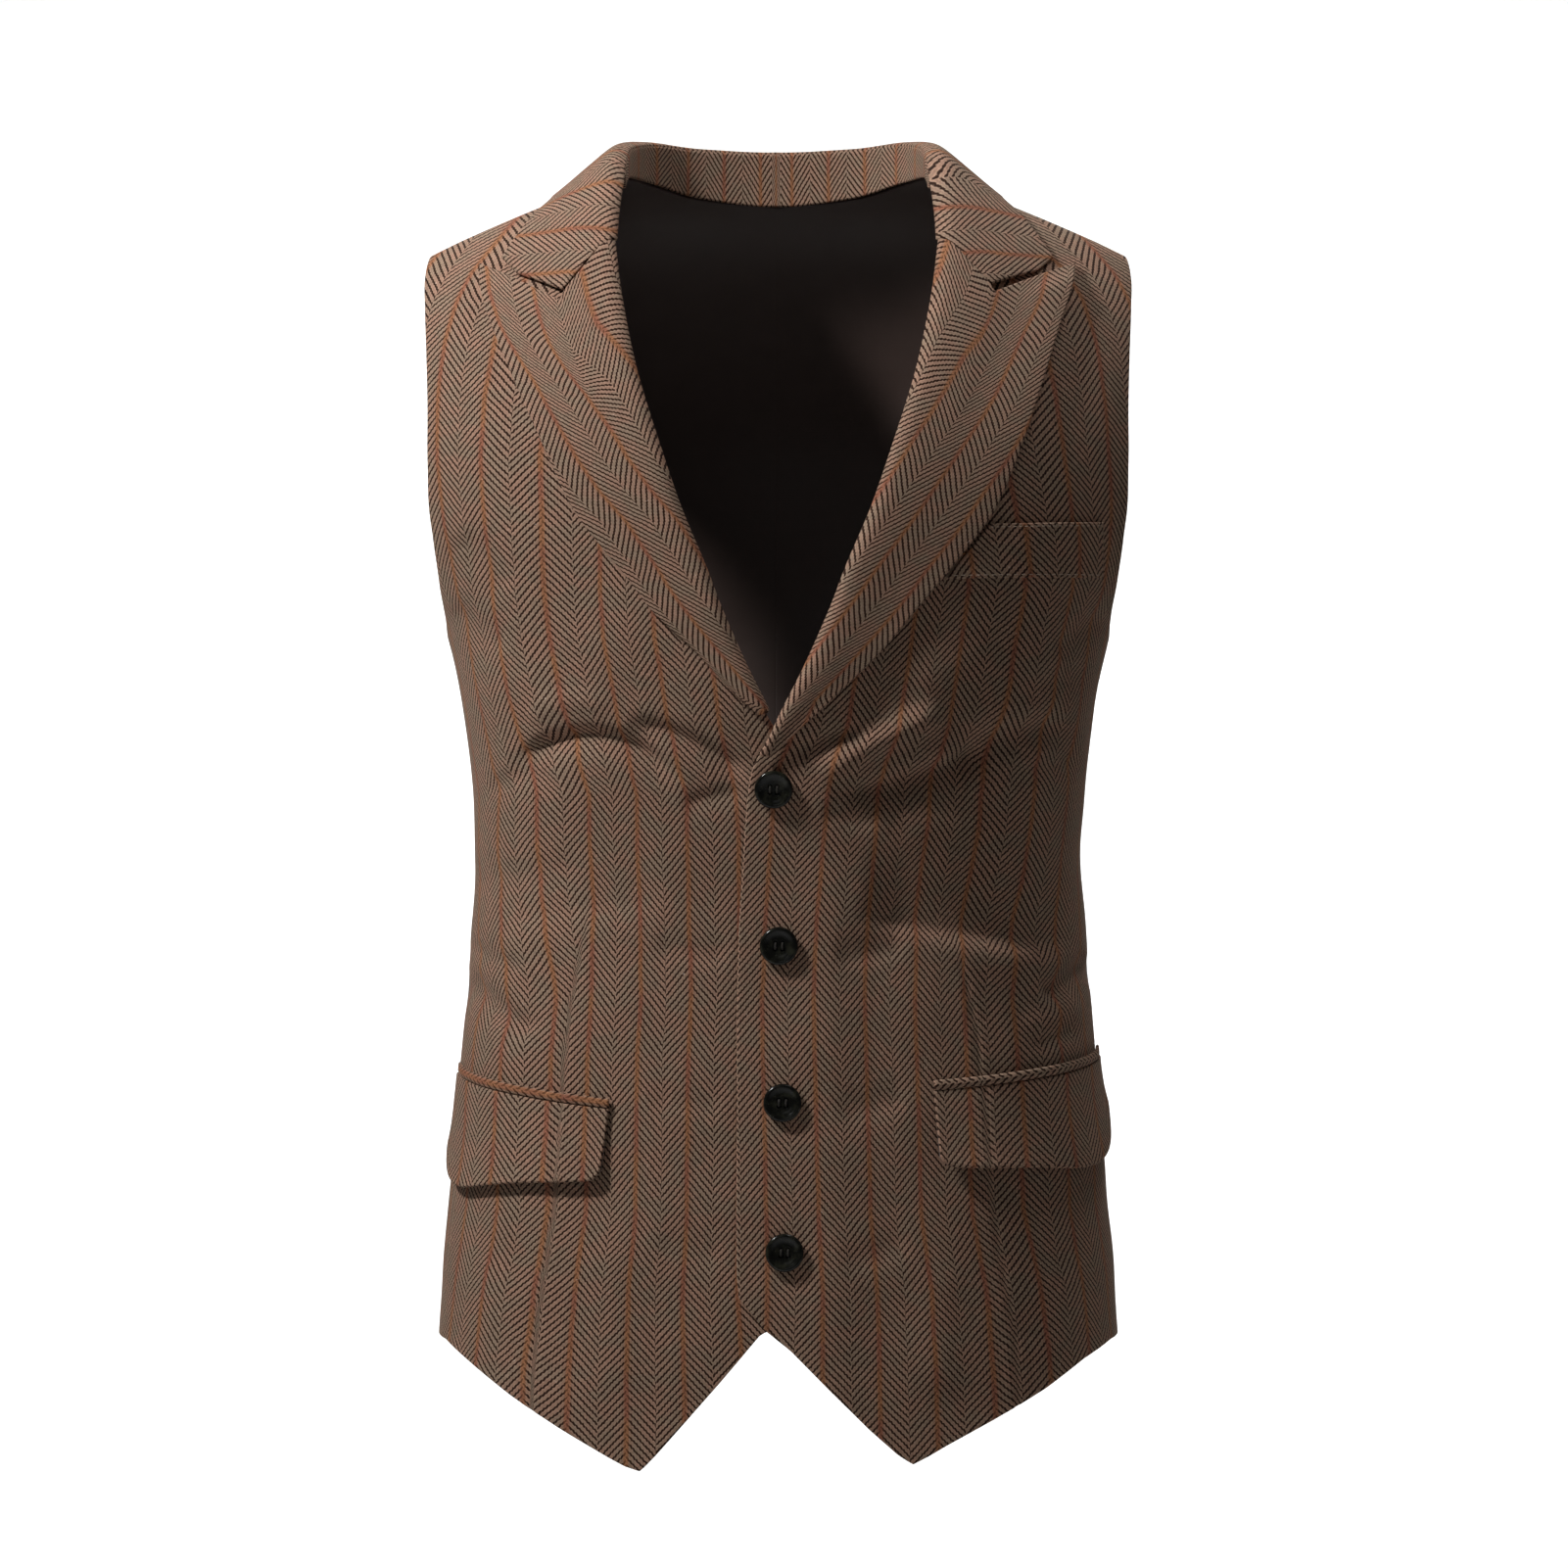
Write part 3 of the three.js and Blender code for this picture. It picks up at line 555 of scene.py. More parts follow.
def graded(count: int, length: float) -> Array:
    """Places from 0 to 1, close together at both ends so that an edge can be rounded.

    Args:
        count: Even steps between the two ends, beside those at the distances of NEAR_EDGE.
        length: The real length from 0 to 1.

    Returns:
        The places in rising order.
    """
    close = np.array(NEAR_EDGE) / length
    inner = np.linspace(close[-1], 1 - close[-1], count + 1)[1:-1]
    return np.concatenate([[0], close, inner, 1 - close[::-1], [1]])


def make_object(
    name: str,
    points: Array,
    faces: Sequence[Array],
    looks: Sequence[Array] | None = None,
    uv: Array | None = None,
) -> bpy.types.Object:
    """Puts points in mm and arrays of triangles or quads into a new object.

    Args:
        name: The piece's name.
        points: Vertex places, one row each.
        faces: Arrays of vertex numbers, one array for each count of corners.
        looks: Material numbers for each array in faces.
        uv: A pattern place for each vertex, in metres.

    Returns:
        The linked object, shaded smooth.
    """
    mesh = bpy.data.meshes.new(name)
    corners = np.concatenate([f.ravel() for f in faces]).astype(np.int32)
    totals = np.concatenate([np.full(len(f), f.shape[1]) for f in faces]).astype(np.int32)
    mesh.vertices.add(len(points))
    mesh.vertices.foreach_set("co", (points * MM).astype(np.float32).ravel())
    mesh.loops.add(len(corners))
    mesh.loops.foreach_set("vertex_index", corners)
    mesh.polygons.add(len(totals))
    starts = np.concatenate([[0], np.cumsum(totals)[:-1]])
    mesh.polygons.foreach_set("loop_start", starts.astype(np.int32))
    if looks is not None:
        mesh.polygons.foreach_set("material_index", np.concatenate(looks).astype(np.int32))
    mesh.polygons.foreach_set("use_smooth", np.ones(len(totals), bool))
    if uv is not None:
        layer = mesh.uv_layers.new(name=UV_NAME)
        layer.data.foreach_set("uv", uv[corners].astype(np.float32).ravel())
    mesh.update(calc_edges=True)
    mesh.validate()
    obj = bpy.data.objects.new(name, mesh)
    bpy.context.scene.collection.objects.link(obj)
    return obj


THIN_RIM = 0.006


@dataclass(frozen=True)
class Cloth:
    """A panel's middle surface on a grid, with the outward direction and the pattern at each point."""

    points: Array
    outward: Array
    uv: Array

    def normals(self) -> Array:
        """Cross product of the grid's two directions, turned to the outward side.

        Returns:
            A unit vector for each point.
        """
        across = np.gradient(self.points, axis=1)
        along = np.gradient(self.points, axis=0)
        n = unit(np.cross(across, along))
        return n * np.sign((n * self.outward).sum(-1).mean())

    def edge_distance(self, axis: int) -> Array:
        """Length of cloth to the nearer of the two edges along one grid direction.

        Args:
            axis: 0 down the rows or 1 along the columns.

        Returns:
            The length from each point.
        """
        steps = np.linalg.norm(np.diff(self.points, axis=axis), axis=-1)
        run = np.cumsum(steps, axis=axis)
        pad = [(0, 0), (0, 0)]
        pad[axis] = (1, 0)
        run = np.pad(run, pad)
        total = np.take(run, [-1], axis=axis)
        return np.minimum(run, total - run)

    def shell(self, name: str, thickness: float) -> bpy.types.Object:
        """A closed wall about the surface, its edges turned over in a half round.

        The half thickness is radius sqrt(1 - (1 - d/radius)^2) at a distance d from the edge, where the
        radius is half of the wall's thickness.

        Args:
            name: The piece's name.
            thickness: Wall thickness.

        Returns:
            The piece. Material 0 is its outer face and rims, material 1 its inner face.
        """
        radius = thickness / 2
        near = np.minimum(self.edge_distance(0), self.edge_distance(1))
        share = np.sqrt(1 - (1 - np.clip(near / radius, THIN_RIM, 1)) ** 2)
        half = (radius * share)[..., None]
        n = self.normals()
        rows, cols = self.points.shape[:2]
        outer, inner = self.points + n * half, self.points - n * half
        points = np.concatenate([outer.reshape(-1, 3), inner.reshape(-1, 3)])
        number = np.arange(rows * cols).reshape(rows, cols)
        under = number + rows * cols
        a, b = number[:-1, :-1].ravel(), number[:-1, 1:].ravel()
        c, d = number[1:, 1:].ravel(), number[1:, :-1].ravel()
        top = np.stack([a, b, c, d], 1)
        low = np.stack([a, d, c, b], 1) + rows * cols
        rims = []
        for edge, back in (
            (number[0, ::-1], under[0, ::-1]),
            (number[-1, :], under[-1, :]),
            (number[:, 0], under[:, 0]),
            (number[::-1, -1], under[::-1, -1]),
        ):
            rims.append(np.stack([edge[:-1], edge[1:], back[1:], back[:-1]], 1))
        rim = np.concatenate(rims)
        cross = np.cross(points[top[:, 1]] - points[top[:, 0]], points[top[:, 3]] - points[top[:, 0]])
        if (cross * n[:-1, :-1].reshape(-1, 3)).sum() < 0:
            top, low, rim = top[:, ::-1], low[:, ::-1], rim[:, ::-1]
        uv = np.concatenate([self.uv.reshape(-1, 2)] * 2) * MM
        looks = [np.zeros(len(top)), np.ones(len(low)), np.zeros(len(rim))]
        faces = np.concatenate([top, low, rim])
        return make_object(name, points, [faces], [np.concatenate(looks)], uv)


SLOPE_STEP = 1e-3
BODY_BREADTH = 2.2
SHOULDER_FROM = -90.0
SHOULDER_TILT = 0.9


def with_normals(base: Callable[[Array, Array], Array], a: Array, b: Array) -> tuple[Array, Array]:
    """A surface's points and its outward unit normals, the cross product of its two slopes.

    Args:
        base: The surface, a function of two numbers.
        a: The first number at each point.
        b: The second number at each point.

    Returns:
        The points and the normals, which are turned away from the body's middle.
    """
    e = SLOPE_STEP
    p = base(a, b)
    n = unit(np.cross(base(a + e, b) - base(a - e, b), base(a, b + e) - base(a, b - e)))
    over = np.maximum(p[..., 2] - SHOULDER_FROM, 0)
    away = vec(p[..., 0] / BODY_BREADTH, p[..., 1], over * SHOULDER_TILT)
    return p, n * np.where((n * away).sum(-1) < 0, -1.0, 1.0)[..., None]


@dataclass(frozen=True)
class Body:
    """Cloth lying on the figure: the place of a point that is lifted off it."""

    overlap_lift: float = 2.6
    overlap_top: float = -212.0
    overlap_fade: float = 36.0
    overlap_reach: float = 22.0
    overlap_slope: float = 30.0
    step: float = 100.0

    def lap(self, p: Array, side: Array | int) -> Array:
        """How far the left front stands out where it laps over the right one.

        Args:
            p: Points of the body.
            side: The wearer's side as a sign.

        Returns:
            The distance, eased in from the top and out beside the lap.
        """
        below = ease((self.overlap_top - p[..., 2]) / self.overlap_fade)
        lift = self.overlap_lift * below * (1 - ease((p[..., 0] - self.overlap_reach) / self.overlap_slope))
        return np.where((np.asarray(side) > 0) & (p[..., 1] < 0), lift, 0.0)

    def on_turn(
        self, turn: Array, down: Array, lift: Array | float, side: Side, half: Half
    ) -> tuple[Array, Array]:
        """Point and outward normal by turn and length down, with folds, dart and overlap.

        Args:
            turn: Angle round the ring.
            down: Length of cloth down from the shoulder.
            lift: Distance off the figure.
            side: The wearer's side.
            half: Front or back.

        Returns:
            The points and the normals.
        """
        k = self.step
        p, n = with_normals(lambda a, b: FIGURE.at_turn(a, b * k, side, half), turn, down / k)
        depth = FOLDS.at(p) + self.lap(p, side.value)
        if half is Half.FRONT:
            depth = depth + DARTS.depth(p, side)
        return p + n * (lift + depth)[..., None], n

    def on_out(
        self, out: Array, down: Array, lift: Array | float, side: Array | int
    ) -> tuple[Array, Array]:
        """Point and outward normal by distance out and length down, with folds and overlap.

        Args:
            out: Distance from the centre.
            down: Length of cloth down from the shoulder, + to the front and - to the back.
            lift: Distance off the figure.
            side: The wearer's side as a sign.

        Returns:
            The points and the normals.
        """
        k = self.step
        p, n = with_normals(lambda a, b: FIGURE.at_out(a * k, b * k, side), out / k, down / k)
        return p + n * (lift + FOLDS.at(p) + self.lap(p, side))[..., None], n


BODY = Body()


def chord_run(points: Array) -> Array:
    """Length along a row of points up to each, as the sum of the chords."""
    return np.concatenate([[0], np.cumsum(np.linalg.norm(np.diff(points, axis=0), axis=1))])


BEYOND_SIDE = 300.0
ARMHOLE_RUN = 250.0
SIDE_RUN = 355.0
SIDE_HEM = -576.0
SEAM_LAP = 0.7
SHOULDER_IN = 79.0
SHOULDER_OUT = 179.0
LAY_GAP = 0.4


@dataclass(frozen=True)
class Edge:
    """An edge of a panel through rows of distance out and height, followed by the share of its length."""

    rows: tuple[tuple[float, float], ...]
    side: Side
    half: Half

    def marks(self) -> Table:
        """The rows as turn and length down, against the share of the edge's length up to each.

        Returns:
            A table with the columns at, turn and down.
        """
        out, z = np.array(self.rows, float).T
        turn, down = FIGURE.chart(out, z, self.half)
        at = chord_run(FIGURE.at_turn(turn, down, self.side, self.half))
        return Table(("at", "turn", "down"), tuple(zip(at / at[-1], turn, down)))

    def follow(self, share: Array) -> tuple[Array, Array]:
        """Turn and length down at a share of the edge's length."""
        marks = self.marks()
        return marks.read("at", "turn", share), marks.read("at", "down", share)


def panel_rows(upper: int, lower: int) -> Array:
    """Rows of a panel: 0 at the shoulder, 1 at the armhole's foot and 2 at the hem.

    Args:
        upper: Even steps above the armhole's foot.
        lower: Even steps below it.

    Returns:
        The rows, close together at the shoulder and the hem only.
    """
    close = len(NEAR_EDGE)
    return np.concatenate([graded(upper, ARMHOLE_RUN)[: -close - 1], 1 + graded(lower, SIDE_RUN)[close:]])


def ridge_row(out: float) -> tuple[float, float]:
    """An edge's row on the shoulder line, a hair below it."""
    return (out, float(FIGURE.ridge(np.array(out))) - 0.0005)


def side_seam(side: Side, half: Half) -> Edge:
    """The side seam: rows further out than the body, which lie on its widest turn."""
    return Edge(tuple((BEYOND_SIDE, z) for z in (-224, -300, -400, -500, SIDE_HEM)), side, half)


def grid(columns: Array, rows: Array) -> tuple[Array, Array]:
    """Column and row values at every point of a grid, rows first."""
    return np.meshgrid(columns, rows)


# Shader sums


class Value:
    """A shader socket's number, on which Python sums add Math nodes."""

    def __init__(self, tree: "Tree", socket: bpy.types.NodeSocket | None) -> None:
        """Keeps the tree and the socket."""
        self.tree, self.socket = tree, socket

    def __add__(self, other: "Value | float") -> "Value":
        """This plus other."""
        return self.tree.math("ADD", self, other)

    __radd__ = __add__

    def __sub__(self, other: "Value | float") -> "Value":
        """This minus other."""
        return self.tree.math("SUBTRACT", self, other)

    def __rsub__(self, other: "Value | float") -> "Value":
        """Other minus this."""
        return self.tree.math("SUBTRACT", other, self)

    def __mul__(self, other: "Value | float") -> "Value":
        """This times other."""
        return self.tree.math("MULTIPLY", self, other)

    __rmul__ = __mul__

    def __truediv__(self, other: "Value | float") -> "Value":
        """This over other."""
        return self.tree.math("DIVIDE", self, other)

    def step(self, low: float, high: float) -> "Value":
        """A soft step from 0 at low to 1 at high."""
        return self.tree.node(
            "ShaderNodeMapRange",
            {"interpolation_type": "SMOOTHSTEP"},
            {"Value": self, "From Min": low, "From Max": high},
        )


class Tree:
    """A material's nodes, made through one method."""

    def __init__(self, name: str) -> None:
        """Makes an empty node material.

        Args:
            name: The material's name.
        """
        self.material = bpy.data.materials.new(name)
        self.material.use_nodes = True
        self.nodes = self.material.node_tree.nodes
        self.links = self.material.node_tree.links
        self.nodes.clear()

    def node(
        self,
        kind: str,
        settings: dict[str, Any] | None = None,
        inputs: dict[str | int, Any] | None = None,
        output: str | int = 0,
    ) -> Value:
        """Adds a node.

        Args:
            kind: The node's type.
            settings: Its properties, set first.
            inputs: Values or links by the socket's name or number.
            output: The output to hand back, by name or number.

        Returns:
            The output as a Value.
        """
        made = self.nodes.new(kind)
        for key, setting in (settings or {}).items():
            setattr(made, key, setting)
        for key, given in (inputs or {}).items():
            if isinstance(given, Value):
                self.links.new(given.socket, made.inputs[key])
            else:
                made.inputs[key].default_value = given
        return Value(self, made.outputs[output] if len(made.outputs) else None)

    def math(self, operation: str, a: Value | float, b: Value | float = 0.0) -> Value:
        """A Math node."""
        return self.node("ShaderNodeMath", {"operation": operation}, {0: a, 1: b})

    def blend(self, share: Value | float, a: Any, b: Any) -> Value:
        """Colour a to colour b by a share."""
        return self.node("ShaderNodeMix", {"data_type": "RGBA"}, {0: share, 6: a, 7: b}, 2)

    def noise(self, vector: Value, scale: float, detail: float = 2.0) -> Value:
        """Noise from 0 to 1 over a vector."""
        return self.node(
            "ShaderNodeTexNoise",
            {"noise_dimensions": "3D"},
            {"Vector": vector, "Scale": scale, "Detail": detail},
        )

    def cloth_place(self) -> tuple[Value, Value, Value]:
        """Where a point is on the cloth.

        Returns:
            The UV map's vector in metres, and its two parts in mm.
        """
        place = self.node("ShaderNodeUVMap", {"uv_map": UV_NAME})
        u, v = (self.node("ShaderNodeSeparateXYZ", {}, {0: place}, part) * (1 / MM) for part in (0, 1))
        return place, u, v

    def bump(self, strength: float, distance: float, height: Value) -> Value:
        """A Bump node, its distance in metres."""
        inputs = {"Strength": strength, "Distance": distance, "Height": height}
        return self.node("ShaderNodeBump", {}, inputs)

    def finish(self, inputs: dict[str | int, Any]) -> bpy.types.Material:
        """Adds the Principled shader and the output.

        Args:
            inputs: Values or links by the shader's socket names.

        Returns:
            The finished material.
        """
        shader = self.node("ShaderNodeBsdfPrincipled", {}, inputs)
        self.node("ShaderNodeOutputMaterial", {}, {"Surface": shader})
        return self.material


Colour = tuple[float, float, float, float]
Place = tuple[float, float, float]


def brighter(colour: Colour, times: float, plus: float = 0.0) -> Colour:
    """A colour times a factor plus a little, at most 1."""
    return tuple(min(part * times + plus, 1.0) for part in colour[:3]) + (1.0,)


@dataclass(frozen=True)
class Tweed:
    """Herringbone tweed with a rust stripe along each upward point of the herringbone.

    Scales are of the noise, in turns to the metre.
    """

    half_band: float = 12.65
    twill: float = 3.85
    slope: float = 1.2
    stair: float = 1.3
    strand: float = 1.1
    tint: float = 3.6
    wander_across: float = 1.0
    wander_along: float = 0.9
    yarn_scale: float = 1700.0
    heather_scale: float = 430.0
    blotch_scale: float = 90.0
    light: Colour = (0.440, 0.262, 0.184, 1)
    grey: Colour = (0.350, 0.246, 0.174, 1)
    dark: Colour = (0.030, 0.0110, 0.0055, 1)
    rust: Colour = (0.390, 0.168, 0.078, 1)
    rose: Colour = (0.350, 0.132, 0.078, 1)
    fleck: Colour = (0.66, 0.55, 0.47, 1)

    def material(self) -> bpy.types.Material:
        """Twill lines that turn at each band, in pale and dark yarn, rust where they meet at a stripe.

        The lines are sin(2 pi (v - slope p) / twill), p being u folded to and fro over half a band.

        Returns:
            The material.
        """
        t = Tree("tweed")
        place, u, v = t.cloth_place()
        u = u + (t.noise(place, 45.0, 1.0) - 0.5) * self.wander_across
        v = v + (t.noise(place, 160.0, 1.0) - 0.5) * self.wander_along
        point = t.math("PINGPONG", u, self.half_band)
        odd = t.math("FLOORED_MODULO", t.math("FLOOR", u / self.half_band), 2.0)
        phase = (v - point * self.slope) / self.twill + odd * 0.5
        wave = t.math("SINE", phase * FULL) * 0.5 + 0.5
        rib = t.math("COSINE", phase * (2 * FULL)) * 0.5 + 0.5
        stair = t.math("SINE", u * (FULL / self.stair)) * 0.18
        yarn = t.noise(place, self.yarn_scale)
        heather = t.noise(place, self.heather_scale)
        blotch = t.noise(place, self.blotch_scale)
        line = (wave + stair + (yarn - 0.5) * 0.8).step(0.17, 0.54)
        pale = t.blend(blotch.step(0.35, 0.65), self.light, self.grey)
        ink = t.blend(t.noise(place, 38.0, 1.0).step(0.44, 0.60), self.rust, self.rose)
        near = 1 - point.step(self.strand * 0.6, self.strand * 1.35)
        pale = t.blend((1 - point.step(self.strand, self.tint)) * 0.3, pale, ink)
        pale = t.blend(near * 0.9, pale, ink)
        dark = t.blend(near * 0.4, self.dark, ink)
        cloth = t.blend(line, dark, pale)
        cloth = t.blend(heather.step(0.71, 0.78) * yarn.step(0.45, 0.6) * 0.6, cloth, self.fleck)
        tone = (yarn * 0.75 + 0.66) * (heather * 0.6 + 0.7) * (blotch * 0.24 + 0.88) * (rib * 0.26 + 0.8)
        grey = t.node("ShaderNodeCombineXYZ", {}, {0: tone, 1: tone, 2: tone})
        colour = t.node("ShaderNodeVectorMath", {"operation": "MULTIPLY"}, {0: cloth, 1: grey})
        bump = t.bump(0.5, 0.00035, line * 0.6 + yarn * 0.6)
        return t.finish(
            {
                "Base Color": colour,
                "Roughness": 0.95 - yarn * 0.1,
                "Normal": bump,
                "Sheen Weight": 0.1,
                "Sheen Roughness": 0.5,
                "Sheen Tint": (0.75, 0.58, 0.46, 1),
                "Specular IOR Level": 0.2,
            }
        )


TWEED = Tweed()


@dataclass(frozen=True)
class Satin:
    """Plain lining satin, brown, with a fine weave."""

    name: str
    base: Colour = (0.075, 0.043, 0.031, 1)
    thread: float = 0.32
    weft: float = 2.5

    def material(self) -> bpy.types.Material:
        """A ribbed weave of fine threads under a soft sheen: one sine across and one along.

        Returns:
            The material.
        """
        t = Tree(self.name)
        place, u, v = t.cloth_place()
        warp = t.math("SINE", (u / self.thread) * FULL)
        weft = t.math("SINE", (v / (self.thread * self.weft)) * FULL)
        cloud = t.noise(place, 30.0, 3.0)
        lift = t.node("ShaderNodeClamp", {}, {0: cloud * 0.5 + warp * 0.06 + 0.1})
        colour = t.blend(lift, self.base, brighter(self.base, 1.7))
        bump = t.bump(0.25, 0.00008, warp * 0.5 + weft * 0.3)
        return t.finish(
            {
                "Base Color": colour,
                "Roughness": 0.36 + cloud * 0.14,
                "Normal": bump,
                "Sheen Weight": 0.15,
                "Specular IOR Level": 0.55,
            }
        )


@dataclass(frozen=True)
class Gloss:
    """Polished near-black button, faintly clouded green."""

    base: Colour = (0.004, 0.004, 0.003, 1)
    cloud: Colour = (0.020, 0.020, 0.013, 1)

    def material(self) -> bpy.types.Material:
        """Dark clouds under a clear polish.

        Returns:
            The material.
        """
        t = Tree("button_gloss")
        place = t.node("ShaderNodeTexCoord", {}, {}, "Object")
        mottle = t.noise(place, 260.0, 3.0)
        colour = t.blend(mottle.step(0.4, 0.75), self.base, self.cloud)
        fine = t.noise(place, 1800.0)
        bump = t.bump(0.08, 0.0001, fine)
        return t.finish(
            {
                "Base Color": colour,
                "Roughness": 0.12 + fine * 0.08,
                "Normal": bump,
                "Specular IOR Level": 0.35,
            }
        )


@dataclass(frozen=True)
class Thread:
    """Sewing thread of one colour, twisted from two plies."""

    name: str
    base: Colour

    def material(self) -> bpy.types.Material:
        """Plies as light and dark along the thread.

        Returns:
            The material.
        """
        t = Tree(self.name)
        place = t.node("ShaderNodeTexCoord", {}, {}, "Object")
        ply = t.noise(place, 2600.0, 1.0)
        colour = t.blend(ply.step(0.35, 0.65), self.base, brighter(self.base, 1.9, 0.004))
        bump = t.bump(0.4, 0.0001, ply)
        return t.finish({"Base Color": colour, "Roughness": 0.6 + ply * 0.2, "Normal": bump})


@dataclass
class Finishes:
    """The materials of the whole waistcoat."""

    tweed: bpy.types.Material
    back: bpy.types.Material
    lining: bpy.types.Material
    button: bpy.types.Material
    dark_thread: bpy.types.Material
    pale_thread: bpy.types.Material

    @classmethod
    def make(cls) -> "Finishes":
        """Makes every material once."""
        return cls(
            TWEED.material(),
            Satin("back_satin").material(),
            Satin("lining_satin", (0.052, 0.032, 0.026, 1)).material(),
            Gloss().material(),
            Thread("button_thread", (0.016, 0.013, 0.010, 1)).material(),
            Thread("edge_thread", (0.42, 0.33, 0.26, 1)).material(),
        )


def dress(obj: bpy.types.Object, materials: Sequence[bpy.types.Material], slot: str, *nodes: str) -> None:
    """Gives a piece its materials and its place on the frame.

    Args:
        obj: The piece.
        materials: One for each material number of its mesh.
        slot: A material slot's name; not used.
        nodes: CAD nodes that it stands for.
    """
    for material in materials:
        obj.data.materials.append(material)
    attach(obj, "root")
    if nodes:
        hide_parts(*nodes)
    log.info("%s: %d faces", obj.name, len(obj.data.polygons))


# Fronts


@dataclass
class Front:
    """One front: its edges as distance out and height."""

    side: Side
    finishes: Finishes
    thickness: float = 2.0
    lap_radius: float = 108.0
    least_turn: float = -0.2
    hem_from: float = 1.3
    hem_power: float = 1.1
    hem_rounds: int = 12
    neck: tuple[tuple[float, float], ...] = (
        (82.5, 6), (85.2, -14), (84, -33), (80.2, -52), (76.4, -69), (71.6, -89),
        (65.9, -109), (58.8, -130), (49.5, -157), (36.9, -187), (29.3, -207),
        (20.9, -227), (12.8, -244), (4.4, -260),
    )
    closing: tuple[tuple[float, float], ...] = (
        (4.4, -260), (-10.5, -284), (-13.4, -296), (-17, -342), (-19, -391),
        (-19.4, -488), (-19.4, -535), (-18.3, -549),
    )
    armhole: tuple[tuple[float, float], ...] = (
        (181, -36), (180.2, -52), (178.6, -79), (177.6, -106), (177.4, -133),
        (176.9, -155), (175.2, -169), (172.1, -194), (170, -211), (175, -224),
    )
    hem: Table = Table(
        ("out", "right", "left"),
        (
            (-18.3, -549, -549),
            (-5.5, -562, -565),
            (7.3, -567.5, -575.3),
            (27, -590.6, -595.5),
            (46.5, -612.6, -615.1),
            (60.5, -628.3, -627.6),
            (68, -636, -632.6),
            (76, -633.6, -628.6),
            (84.5, -629.3, -623.8),
            (109.6, -615.5, -611.1),
            (134.5, -600.7, -597.6),
            (155, -587, -584.4),
            (170, -577, -577),
            (177, -576, -576),
        ),
    )

    def hem_down(self, turn: Array) -> Array:
        """Length down to the hem at a turn, width and height settled by substitution.

        Args:
            turn: Angle round the ring.

        Returns:
            The length of cloth down from the shoulder.
        """
        wide, _ = FIGURE.reach(turn)
        z = np.full_like(turn, SIDE_HEM)
        for _ in range(self.hem_rounds):
            out = wide * FIGURE.width(z)
            z = self.hem.straight("out", self.side.word, out)
        return FIGURE.down(FIGURE.ridge(out) - z, Half.FRONT)

    def chart(self, c: Array, r: Array) -> tuple[Array, Array]:
        """Turn and length down of a column and a row.

        Each row runs straight between the inner and the outer edge, and the lowest bend to the hem's line.

        Args:
            c: Column, 0 at the closing edge and 1 at the side.
            r: Row, 0 at the shoulder, 1 at the armhole's foot and 2 at the hem.

        Returns:
            The turn and the length down.
        """
        neck = Edge((ridge_row(SHOULDER_IN), *self.neck), self.side, Half.FRONT)
        closing = Edge(self.closing, self.side, Half.FRONT)
        armhole = Edge((ridge_row(SHOULDER_OUT), *self.armhole), self.side, Half.FRONT)
        seam = side_seam(self.side, Half.FRONT)
        upper, lower = np.clip(r, None, 1), np.clip(r - 1, 0, None)
        pick = r < 1
        inner = [np.where(pick, a, b) for a, b in zip(neck.follow(upper), closing.follow(lower))]
        outer = [np.where(pick, a, b) for a, b in zip(armhole.follow(upper), seam.follow(lower))]
        limit = QUARTER + SEAM_LAP / self.lap_radius
        turn = mix(inner[0], np.minimum(outer[0], limit), c)
        (in_turn, in_down), (out_turn, out_down) = (e.follow(np.array(1.0)) for e in (closing, seam))
        hem_turn = np.clip(mix(in_turn, out_turn, c), self.least_turn, QUARTER)
        extra = self.hem_down(hem_turn) - mix(in_down, out_down, c)
        bend = ease((r - self.hem_from) / (2 - self.hem_from)) ** self.hem_power
        return turn, mix(inner[1], outer[1], c) + extra * bend - SEAM_LAP * ease(1 - r * 20)

    def cloth(self, c: Array, r: Array, lift: float) -> Cloth:
        """The front's middle surface with its pattern.

        Args:
            c: Columns, as in chart().
            r: Rows, as in chart().
            lift: Distance off the figure.

        Returns:
            The surface.
        """
        turn, down = self.chart(c, r)
        points, outward = BODY.on_turn(turn, down, lift, self.side, Half.FRONT)
        return Cloth(points, outward, body_pattern(turn, down, self.side, points))

    def build(self) -> bpy.types.Object:
        """Returns:
            The piece.
        """
        cloth = self.cloth(*grid(graded(118, 200), panel_rows(104, 170)), -self.thickness / 2)
        piece = cloth.shell(f"cloth_front_{self.side.word}", self.thickness)
        dress(piece, [self.finishes.tweed, self.finishes.lining], "tweed", f"front_{self.side.word}")
        return piece


